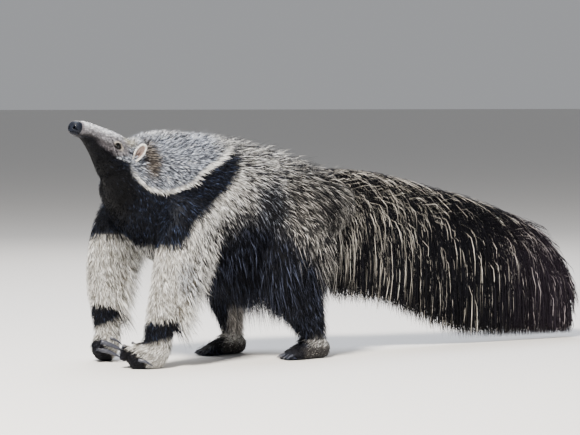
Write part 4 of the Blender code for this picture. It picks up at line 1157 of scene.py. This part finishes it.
headCoat = {"count": 12000, "wide": 0.0014, "wander": 0.12, "back": [0.02, 0.10, 0.20, 0.30],
            "length": [0.0045, 0.0070, 0.0105, 0.018], "height": [0.0009, 0.0014, 0.0024, 0.0062]}
growLying("coatHead", headCoat["count"], isHead * clearOfFeatures() * (headBack < 0.315),
          lambda p: np.interp(inHead(p)[:, 0], headCoat["back"], headCoat["length"]),
          lambda p: np.interp(inHead(p)[:, 0], headCoat["back"], headCoat["height"]),
          headCoat["wide"], wander=headCoat["wander"])


def trunkLength(p):
    x, y, z = p.T
    length = 0.0175 + 0.020 * ramp(x, -0.46, -0.30) + 0.022 * ramp(x, -0.25, 0.0)
    length = length + 0.026 * ramp(-z, -0.44, -0.28) * ramp(x, -0.5, -0.35)
    return length * (0.50 + 0.50 * ramp(x, -0.74, -0.60))


def trunkHeight(p):
    x, y, z = p.T
    return (0.0125 + 0.004 * ramp(z, 0.56, 0.64)) * (0.32 + 0.68 * ramp(x, -0.75, -0.61))


trunkCoat = {"foreCount": 14200, "rearCount": 9900, "foreWide": 0.0018, "rearWide": 0.0020, "split": -0.34}
for index, half in enumerate((cy < 0, cy >= 0)):
    fore, rear = isTrunk * (cx <= trunkCoat["split"]) * half, isTrunk * (cx > trunkCoat["split"]) * half
    growLying(f"coatShoulder_{index}", trunkCoat["foreCount"], fore * 1.0, trunkLength, trunkHeight,
              trunkCoat["foreWide"])
    growLying(f"coatFlank_{index}", trunkCoat["rearCount"], rear * 1.0, trunkLength, trunkHeight,
              trunkCoat["rearWide"])

# Short coat of the legs: count, density, length low and above, between which heights, rise, width, wander.
legCoat = {
    "coatForelegs": (11000, isFore * (cz > 0.050), 0.022, 0.014, (0.15, 0.35), 0.0085, 0.0021, 0.24),
    "coatHindlegs": (8000, isHind * (cz > 0.055), 0.028, 0.016, (0.12, 0.30), 0.0085, 0.0024, 0.26),
    "coatFeet": (5000, (isFore | isHind) * (cz < 0.062) * (cz > 0.005), 0.008, 0.009, (0.015, 0.05), 0.0030,
                 0.0017, 0.2),
}
for name, (count, density, least, more, span, rise, wide, wander) in legCoat.items():
    growLying(name, count, density * 1.0, lambda p: least + more * ramp(p[:, 2], *span),
              lambda p: p[:, 0] * 0 + rise, wide, wander=wander)
print("short coat done")


def aroundLegs():
    # where each spot lies round its leg: 1 behind, -1 in front
    found = np.zeros(len(centre))
    for both, mask in ((forelegRows, isFore), (hindlegRows, isHind)):
        for side, sign in sides.items():
            axisX, depth = limbAxis(both[side], cz, 0, 4)
            found += mask * (cy * sign > 0) * (cx - axisX) / depth
    return found


facingBack = aroundLegs()
# Hanging hair: count, density, lean, least length, what is added low down, over which heights, outward share.
fringes = {
    "coatBelly": (4400, isTrunk * ramp(-cz, -0.38, -0.31) * (cx > -0.50), (0.20, 0, -0.98), 0.060, 0.055,
                  (-0.34, -0.24), 0.25),
    "coatForeFringe": (2800, isFore * ramp(facingBack, 0.10, 0.55) * ramp(cz, 0.11, 0.16)
                       * ramp(-cz, -0.40, -0.34), (0.40, 0, -0.92), 0.050, 0.040, (-0.30, -0.16), 0.35),
    "coatHindFringe": (4000, isHind * ramp(np.abs(facingBack), 0.25, 0.6) * ramp(cz, 0.075, 0.12)
                       * ramp(-cz, -0.42, -0.36), (0.24, 0, -0.96), 0.045, 0.050, (-0.12, -0.28), 0.38),
}
fringeSetup = {"steps": 3, "spread": 0.14, "wide": 0.0024}
for name, (count, density, lean, least, more, span, outward) in fringes.items():
    # the hair is longest low on the belly and high on the legs, and before the thigh
    roots, normals, region = rootHair(int(count * amount), density)
    length = least + more * np.clip((-roots[:, 2] - span[0]) / (span[1] - span[0]), 0, 1)
    length = length * (1 + 0.75 * near(roots[:, 0], roots[:, 2], (-0.23, 0.33), (0.09, 0.13)))
    length = length * rng.uniform(0.55, 1.15, len(roots))
    paths = pushOut(hangHair(roots, normals, np.tile(lean, (len(roots), 1)), length, outward,
                             fringeSetup["steps"], fringeSetup["spread"]))
    finishCoat(name, paths, fringeSetup["wide"], roots, normals, region)
print("fringes done")

backLine = np.array([(-0.72, 0.640), (-0.66, 0.656), (-0.62, 0.668), (-0.573, 0.684), (-0.48, 0.694),
                     (-0.37, 0.680), (-0.28, 0.662), (-0.13, 0.622), (-0.01, 0.600), (0.13, 0.590)])


crestCoat = {"count": 4400, "wide": 0.0020, "lift": 0.90, "steps": 2, "outward": 0.55, "spread": 0.22}


def growCrest(setup):
    # the mane: along the line of the back from the nape to the root of the tail
    upward = surface["normals"][surface["cells"][:, 0]][:, 2]
    density = isTrunk * ramp(upward, 0.84, 0.95) * (cx > -0.70)
    roots, normals, region = rootHair(int(setup["count"] * amount), density)
    x, y, z = roots.T
    many = len(roots)
    length = (0.032 + 0.036 * ramp(x, -0.50, -0.15)) * rng.uniform(0.7, 1.25, many)
    lean = np.stack([np.full(many, 0.90), y * 4, 0.06 - 0.36 * ramp(x, -0.45, -0.05)], axis=1)
    paths = pushOut(hangHair(roots, normals, lean, length, setup["outward"], setup["steps"], setup["spread"]))
    ceiling = np.interp(paths[:, :, 0], backLine[:, 0], backLine[:, 1]) + rng.normal(0, 0.005, (many, 1))
    paths[:, :, 2] = np.minimum(paths[:, :, 2], ceiling)
    finishCoat("coatCrest", paths, setup["wide"], roots, normals, region, setup["lift"])


growCrest(crestCoat)


def growTail(name, count, upper, share, wide, steps):
    # hair up to 40 cm long leaves the tail back and outwards, then hangs in a flat curtain
    count = int(count * amount)
    tipX = -0.02 + 0.948 * rng.random(count) ** 0.90
    deep = rng.random(count)
    drop = np.where(deep < share, rng.uniform(0.90, 1.02, count), rng.uniform(upper[0], upper[1], count))
    outlineX, outlineTop, outlineHem = tailOutline.T
    ridge, hem = np.interp(tipX, outlineX, outlineTop), np.interp(tipX, outlineX, outlineHem)
    ragged = hem - 0.024 + 0.044 * rng.random(count) ** 2.5 - 0.014 * rng.random(count)
    tipZ = np.maximum(ridge - (ridge - ragged) * drop, 0.014)
    back = (0.150 - 0.075 * drop) * rng.uniform(0.75, 1.3, count)
    station = np.clip(tipX - back, -0.06, 0.812)
    rows = np.array(tailRows)
    axisZ, thick, tall = (np.interp(station, rows[:, 0], rows[:, k]) for k in (2, 3, 4))
    sign = np.where(rng.random(count) < 0.5, -1.0, 1.0)
    turn = np.radians(142 * np.clip(drop * 1.05 - 0.06 + rng.normal(0, 0.20, count), 0, 1))
    inner = rng.random(count) ** 0.5  # some hang in the middle, so that the curtain closes below
    normals = np.stack([np.zeros(count), sign * np.sin(turn), np.cos(turn)], axis=1)
    roots = np.stack([station, sign * np.sin(turn) * thick * 0.9, axisZ + np.cos(turn) * tall * 0.9], axis=1)
    tipZ = np.minimum(tipZ, roots[:, 2] - 0.012)
    sheet = (0.058 * (1 - drop) + 0.016) * rng.uniform(0.25, 1.15, count) * inner
    tips = np.stack([tipX, sign * sheet, tipZ], axis=1)
    onward = tipX - station
    swell = (0.020 + 0.030 * rng.random(count)) * np.clip(0.15 + np.sin(turn), 0, 1)
    highX = station + onward * 0.45
    highZ = np.minimum(roots[:, 2] + 0.060 * np.clip(1 - 0.6 * drop, 0, 1) * np.cos(turn / 2),
                       np.interp(highX, outlineX, outlineTop) - 0.006)
    first = np.stack([highX, roots[:, 1] + sign * swell, highZ], axis=1)
    lowY = sign * (thick + swell) * (0.25 + 0.60 * inner) + tips[:, 1] * 0.15
    second = np.stack([station + onward * 0.93, lowY, highZ * 0.52 + tipZ * 0.48], axis=1)

    def along(t):
        u = 1 - t
        return (roots[:, None] * u**3 + first[:, None] * 3 * u**2 * t + second[:, None] * 3 * u * t**2
                + tips[:, None] * t**3)

    # marked by where it hangs, more straw near the root of the tail; a pale hair has one short pale stretch
    seen = along(np.full((count, 1, 1), 0.62))[:, 0]
    region = np.full(count, part["tail"])
    dark, light, often = markings(seen, region)
    straw = near(seen[:, 0], seen[:, 2], (0.14, 0.38), (0.20, 0.17))
    often = often * (1 + 0.9 * straw - 0.25 * (drop < 0.25))
    pale = rng.random(count) < often
    middle, half = rng.uniform(0.35, 0.93, count), rng.uniform(0.04, 0.12, count)
    stretch = np.stack([middle - half, middle, np.minimum(middle + half, 0.99)], axis=1)
    t = np.tile(1 - (1 - np.arange(steps + 1) / steps) ** 1.8, (count, 1))
    if steps > 3:
        t[pale, 1:steps] = stretch[pale]
    paths = along(t[:, :, None])
    wave = np.where(pale, 0.0022, 0.0055)[:, None] * np.linspace(0, 1, steps + 1)
    paths = paths + rng.normal(0, 1, paths.shape) * wave[:, :, None]
    paths[:, 0] = roots - normals * 0.003
    ceiling = np.interp(paths[:, :, 0], outlineX, outlineTop) + rng.normal(0, 0.002, (count, 1))
    paths[:, :, 2] = np.clip(paths[:, :, 2], 0.012, ceiling)
    lit = (np.array([0.0, 0.6, 1.0, 0.5, 0.0])[None, :steps + 1] * pale[:, None])[:, :, None]
    tones = vary(dark[:, None] * (1 - lit) + light[:, None] * lit, 0.25)
    wide = wide * rng.uniform(0.6, 1.35, count) * np.where(pale, 0.85, 1.0)
    tuftMesh(name, paths, wide, roots, normals, region, tones, "curtain")


# Hair of the tail: count, how far down the rest end, share that reach the hem, width, steps.
tailCoat = {"coatTailCurtain": (7400, (0.50, 0.90), 0.72, 0.0022, 4),
            "coatTailOuter": (8200, (0.12, 0.90), 0.30, 0.0020, 4),
            "coatTailRidge": (4600, (0.03, 0.32), 0.0, 0.0018, 3)}
for name, setup in tailCoat.items():
    growTail(name, *setup)
print("tail done")


def noseLeather():
    # bare rhinarium skin, pebbled at about 0.6 mm and wet: near black with sharp wet glints
    material, add = newMaterial("noseLeather")
    place = add("TexCoord").outputs["Object"]
    pebbles = add("TexVoronoi", {"Scale": 950.0}, {"Vector": place}).outputs["Distance"]
    blotch = add("TexNoise", {"Scale": 120.0, "Detail": 3.0}, {"Vector": place}).outputs["Fac"]
    finishMaterial(add, {"Roughness": 0.30, "IOR": 1.40, "Specular IOR Level": 0.10, "Coat Weight": 0.04,
                         "Coat Roughness": 0.06},
                   addRamp(add, blotch, [(0.0, "090a0e"), (1.0, "1e222c")]),
                   addBump(add, 0.6, 0.0004, pebbles))
    return material


dress(nosePad, noseLeather())


def eyeWet(side, radius):
    # dark iris under a wet clear cornea: the gloss gives the eye its one sharp highlight
    material, add = newMaterial(f"eyeWet_{side}")
    place = add("TexCoord").outputs["Object"]
    split = add("SeparateXYZ", links={"Vector": place}).outputs["Z"]
    level = add("MapRange", {"From Min": 0.45 * radius, "From Max": 1.06 * radius}, {"Value": split})
    streaks = add("TexNoise", {"Scale": 900.0, "Detail": 3.0}, {"Vector": place}).outputs["Fac"]
    veined = add("Math", {"operation": "MULTIPLY_ADD", 1: 0.05}, {0: streaks, 2: level.outputs["Result"]})
    stops = [(0.0, "2a201c"), (0.26, "0a0706"), (0.34, "1c110a"), (0.66, "2c1b10"), (0.74, "040404"),
             (1.0, "030303")]
    finishMaterial(add, {"Roughness": 0.12, "IOR": 1.36, "Specular IOR Level": 0.30, "Coat Weight": 0.80,
                         "Coat Roughness": 0.01},
                   addRamp(add, veined.outputs["Value"], stops), addBump(add, 0.08, 0.0001, streaks))
    return material


def makeEye(side, sign):
    radius = headSetup["eyeRadius"]
    shape = bmesh.new()
    bmesh.ops.create_uvsphere(shape, u_segments=48, v_segments=32, radius=radius)
    for vertex in shape.verts:
        # the cornea stands a little proud of the ball
        level = vertex.co.z / radius
        if level > 0.70:
            vertex.co *= 1 + 0.05 * math.sin((level - 0.70) / 0.30 * math.pi / 2)
    mesh = bpy.data.meshes.new(f"eye_{side}")
    mesh.from_pydata([v.co[:] for v in shape.verts], [], cellsOf(shape))
    shape.free()
    made = dress(addObject(f"eye_{side}", mesh), eyeWet(side, radius))
    look = (headPlace.to_3x3() @ ofHead(headSetup["look"], sign)).normalized()
    spot = headPlace @ ofHead(headSetup["eye"], sign)
    made.matrix_world = Matrix.Translation(spot) @ look.to_track_quat("Z", "Y").to_matrix().to_4x4()
    return made


eyes = {side: makeEye(side, sign) for side, sign in sides.items()}


def thinSkin():
    # ear: thin bare skin, warm where light comes through, finely veined and creased
    material, add = newMaterial("thinSkin")
    place = add("TexCoord").outputs["Object"]
    grain = add("TexNoise", {"Scale": 260.0, "Detail": 5.0}, {"Vector": place}).outputs["Fac"]
    finishMaterial(add, {"Roughness": 0.55, "Subsurface Weight": 0.12, "Subsurface Scale": 0.004,
                         "Subsurface Radius": (1.0, 0.4, 0.3)},
                   addRamp(add, grain, [(0.3, "3d302c"), (0.7, "7d6c65")]), addBump(add, 0.5, 0.0005, grain))
    return material


def earFrame(sign):
    # +Y along the leaf to its tip, +Z out of its cup
    upward = ofHead(earSetup["upward"], sign).normalized()
    facing = ofHead(earSetup["facing"], sign)
    facing = (facing - upward * facing.dot(upward)).normalized()
    turned = Matrix((upward.cross(facing), upward, facing)).transposed().to_4x4()
    return headPlace @ Matrix.Translation(ofHead(headSetup["ear"], sign)) @ turned


def earPoint(r, t, inner):
    # a leaf, broader above and pointed below, deepest near its base, with a rolled rim
    setup = earSetup
    rise = math.sin(t)
    longwise = r * setup["long"] * rise
    crosswise = r * setup["wide"] * math.cos(t) * (1.0 + 0.22 * rise) * (1.0 - 0.32 * max(0.0, -rise) ** 1.5)
    depth = -setup["cup"] * (1 - r**2.4) * (1 - 0.30 * rise)
    roll = setup["roll"] * max(0.0, r - 0.80) / 0.20
    fold = setup["fold"] * math.exp(-(((crosswise + 0.003) / 0.0022) ** 2)) * (1 - r) * 2
    back = 0 if inner else setup["thick"] * (1.2 - 0.4 * r)
    return Vector((crosswise, longwise, depth - roll + fold - back))


def makeEar(side, sign):
    place = earFrame(sign)
    around, rings = earSetup["around"], earSetup["rings"]
    points, faces, rims = [], [], []
    for inner in (True, False):
        start = len(points)
        points.append(earPoint(0, 0, inner))
        for k in range(1, rings + 1):
            points += [earPoint(k / rings, 2 * math.pi * j / around, inner) for j in range(around)]
        for j in range(around):
            n = (j + 1) % around
            faces.append((start, start + 1 + j, start + 1 + n))
            for k in range(rings - 1):
                a, b = start + 1 + k * around, start + 1 + (k + 1) * around
                faces.append((a + j, b + j, b + n, a + n))
        rims.append(start + 1 + (rings - 1) * around)
    for j in range(around):
        n = (j + 1) % around
        faces.append((rims[0] + j, rims[1] + j, rims[1] + n, rims[0] + n))
    return dress(pile(f"ear_{side}", [(np.array([(place @ p)[:] for p in points]), faces)]), earMaterial)


earMaterial = thinSkin()
ears = {side: makeEar(side, sign) for side, sign in sides.items()}


def growEarFringe(side, sign):
    # pale hair along the rim, grey over the back, and a dark lock inside at the base that paints the shadow
    # there
    place = earFrame(sign)
    counts = [int(earSetup[key] * amount) for key in ("rimCount", "backCount", "shadowLockCount")]
    count, (rimCount, backCount, _) = sum(counts), counts
    roots, normals = [], []
    turned = place.to_3x3().normalized()
    for k in range(count):
        t = rng.uniform(0, 2 * math.pi)
        out = Vector((math.cos(t), math.sin(t), 0))
        if k < rimCount:
            spot, grow = earPoint(0.97, t, rng.random() < 0.5), out + Vector((0, 0.5, rng.uniform(-0.2, 0.6)))
        elif k < rimCount + backCount:
            spot, grow = earPoint(math.sqrt(rng.uniform(0.05, 1)), t, False), Vector((0, 0.9, -0.7))
        # the lock inside at the base: dark hair that stands for painted shadow
        else:
            low = rng.uniform(-2.2, -1.3)
            spot, grow = earPoint(rng.uniform(0.45, 0.85), low, True), Vector((0, 1, 0.35))
        roots.append((place @ spot)[:])
        normals.append((turned @ grow).normalized()[:])
    roots, normals = np.array(roots), np.array(normals)
    paths = hangHair(roots, normals, normals, rng.uniform(0.0035, 0.0065, count), 0.5, 2, 0.25)
    tip = np.repeat([tone["line"], tone["face"], tone["saltDark"]], counts, axis=0)
    tones = vary(np.stack([tip * 0.75, tip * 0.9, tip], axis=1), 0.10)
    wide = earSetup["hair"] * rng.uniform(0.7, 1.3, count)
    tuftMesh(f"coatEar_{side}", paths, wide, roots, normals, np.full(count, part["head"]), tones)


for side, sign in sides.items():
    growEarFringe(side, sign)


def clawHorn():
    # keratin sheath, worn by walking: dark blue-grey horn with growth lines about 1 mm apart along it
    material, add = newMaterial("clawHorn")
    place = add("TexCoord").outputs["Object"]
    drawn = add("Mapping", {"Scale": (45.0, 700.0, 700.0)}, {"Vector": place}).outputs["Vector"]
    lines = add("TexNoise", {"Scale": 1.0, "Detail": 3.0}, {"Vector": drawn}).outputs["Fac"]
    finishMaterial(add, {"Roughness": 0.34, "IOR": 1.50, "Specular IOR Level": 0.35},
                   addRamp(add, lines, [(0.32, "15161b"), (0.68, "4a4d58")]),
                   addBump(add, 0.35, 0.0004, lines))
    return material


hornMaterial = clawHorn()
# how far the sheath reaches back into the digit, its narrowing to the tip and its ridge and flat underside
clawSetup = {"sink": 0.007, "narrow": 0.86, "slim": 0.78, "ridge": 0.12, "under": 0.82, "tip": 0.12,
             "rings": 15, "around": 16}


def clawShape(root, tip, radius, bulge):
    # a horn blade: ridged above, flatter below, tapering to a blunt point
    start, end = np.array(root), np.array(tip)
    middle = (start + end) / 2 + np.array(bulge)
    rings, around = clawSetup["rings"], clawSetup["around"]
    t = np.linspace(0, 1, rings)[:, None]
    centres = start * (1 - t) ** 2 + middle * 2 * t * (1 - t) + end * t**2
    along = unit(np.gradient(centres, axis=0))
    across = unit(np.cross(along, np.array((0.0, 0.0, 1.0))))
    upward = np.cross(across, along)
    size = radius * (1 - clawSetup["narrow"] * t**1.5)
    turn = np.linspace(0, 2 * math.pi, around, endpoint=False)
    ridge = np.where(np.sin(turn) > 0, 1 + clawSetup["ridge"] * np.sin(turn) ** 6, clawSetup["under"])
    wide = (size * clawSetup["slim"])[:, None] * np.cos(turn)[None, :, None]
    tall = size[:, None] * (np.sin(turn) * ridge)[None, :, None]
    sections = centres[:, None] + across[:, None] * wide + upward[:, None] * tall
    end = centres[-1:] + along[-1:] * radius * clawSetup["tip"]
    points = np.vstack([sections.reshape(-1, 3), centres[:1], end])
    return points, tubeFaces(rings, around)


def makeClaws():
    made = []
    for side, sign in sides.items():
        toe, shapes = forefootRows[side][-1], []
        for back, inward, up, tipBack, tipInward, tipUp, radius in foreClaws:
            root = Vector((toe[0] + back, toe[1] - sign * inward, up))
            tip = Vector((toe[0] + tipBack, toe[1] - sign * tipInward, tipUp))
            root += (root - tip).normalized() * clawSetup["sink"]
            shapes.append(clawShape(root, tip, radius, (0, -sign * 0.010 * math.copysign(1, inward), 0.008)))
        nodes = [f"claw_fore_{side}_{k + 1}" for k in range(len(shapes))]
        made.append((pile(f"clawsFore_{side}", shapes), nodes))
        toe, shapes = hindfootRows[side][-1], []
        for aside in hindClaws["spread"]:
            start = toe[0] - 0.004 + digitSetup["hindArc"] * abs(aside)
            root = (start, toe[1] + aside, 0.0125)
            tip = (start - hindClaws["length"], toe[1] + aside * 1.15, 0.0045)
            shapes.append(clawShape(root, tip, hindClaws["radius"], (0, 0, 0.006)))
        nodes = [f"claw_hind_{side}_{k + 1}" for k in range(len(shapes))]
        made.append((pile(f"clawsHind_{side}", shapes), nodes))
    for claws, _ in made:
        dress(claws, hornMaterial)
    return made


claws = makeClaws()
print("details done")

stageSetup = {"floor": "d0cecb", "size": 200.0, "world": "eef0f4", "worldPower": 0.42, "rough": 0.9}


def makeStage(setup):
    mesh = bpy.data.meshes.new("floor")
    s = setup["size"]
    mesh.from_pydata([(-s, -s, 0), (s, -s, 0), (s, s, 0), (-s, s, 0)], [], [(0, 1, 2, 3)])
    floor = addObject("floor", mesh)
    material, add = newMaterial("floorPaint")
    paint = {"Base Color": (*hexLinear(setup["floor"]), 1), "Roughness": setup["rough"]}
    add("OutputMaterial", links={"Surface": add("BsdfPrincipled", paint).outputs["BSDF"]})
    mesh.materials.append(material)
    world = bpy.data.worlds.new("studio")
    world.use_nodes = True
    background = world.node_tree.nodes["Background"]
    background.inputs["Color"].default_value = (*hexLinear(setup["world"]), 1)
    background.inputs["Strength"].default_value = setup["worldPower"]
    bpy.context.scene.world = world


lightSetup = [
    # name, place, aim, size, power, colour
    ("key", (-3.4, -2.6, 5.0), (-0.2, 0.0, 0.35), 1.2, 1520, "fff8ee"),
    ("sky", (0.3, 1.2, 5.0), (0.0, 0.0, 0.3), 3.0, 330, "e6efff"),
    ("fill", (3.2, -5.0, 2.0), (0.1, 0.0, 0.3), 3.5, 55, "e8eeff"),
    ("rim", (1.5, 4.0, 3.2), (0.0, 0.0, 0.4), 2.5, 110, "fff8ee"),
]


def makeLights(lights):
    for name, place, aim, size, power, colour in lights:
        data = bpy.data.lights.new(name, "AREA")
        data.size = size
        data.energy = power
        data.color = hexLinear(colour)
        light = addObject(name, data)
        light.location = place
        light.rotation_euler = (Vector(aim) - Vector(place)).to_track_quat("-Z", "Y").to_euler()


makeStage(stageSetup)
makeLights(lightSetup)

# every piece moves to the frame of the solids and rides on the one body; the solids that it stands for are
# hidden
pieces = [skin, nosePad, *eyes.values(), *ears.values(), *coatPieces, *[item for item, _ in claws]]
for piece in pieces:
    if piece.name.startswith("eye_"):
        piece.matrix_world = Matrix.Translation(-boxMiddle) @ piece.matrix_world
    else:
        piece.data.transform(Matrix.Translation(-boxMiddle))
    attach(piece, "root")
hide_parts(*fleshNodes)
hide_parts("nose")
for side in sides:
    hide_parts(f"eye_{side}")
    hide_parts(f"ear_{side}")
for piece, nodes in claws:
    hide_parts(*nodes)

bpy.context.view_layer.update()
print("pieces:", len(pieces))
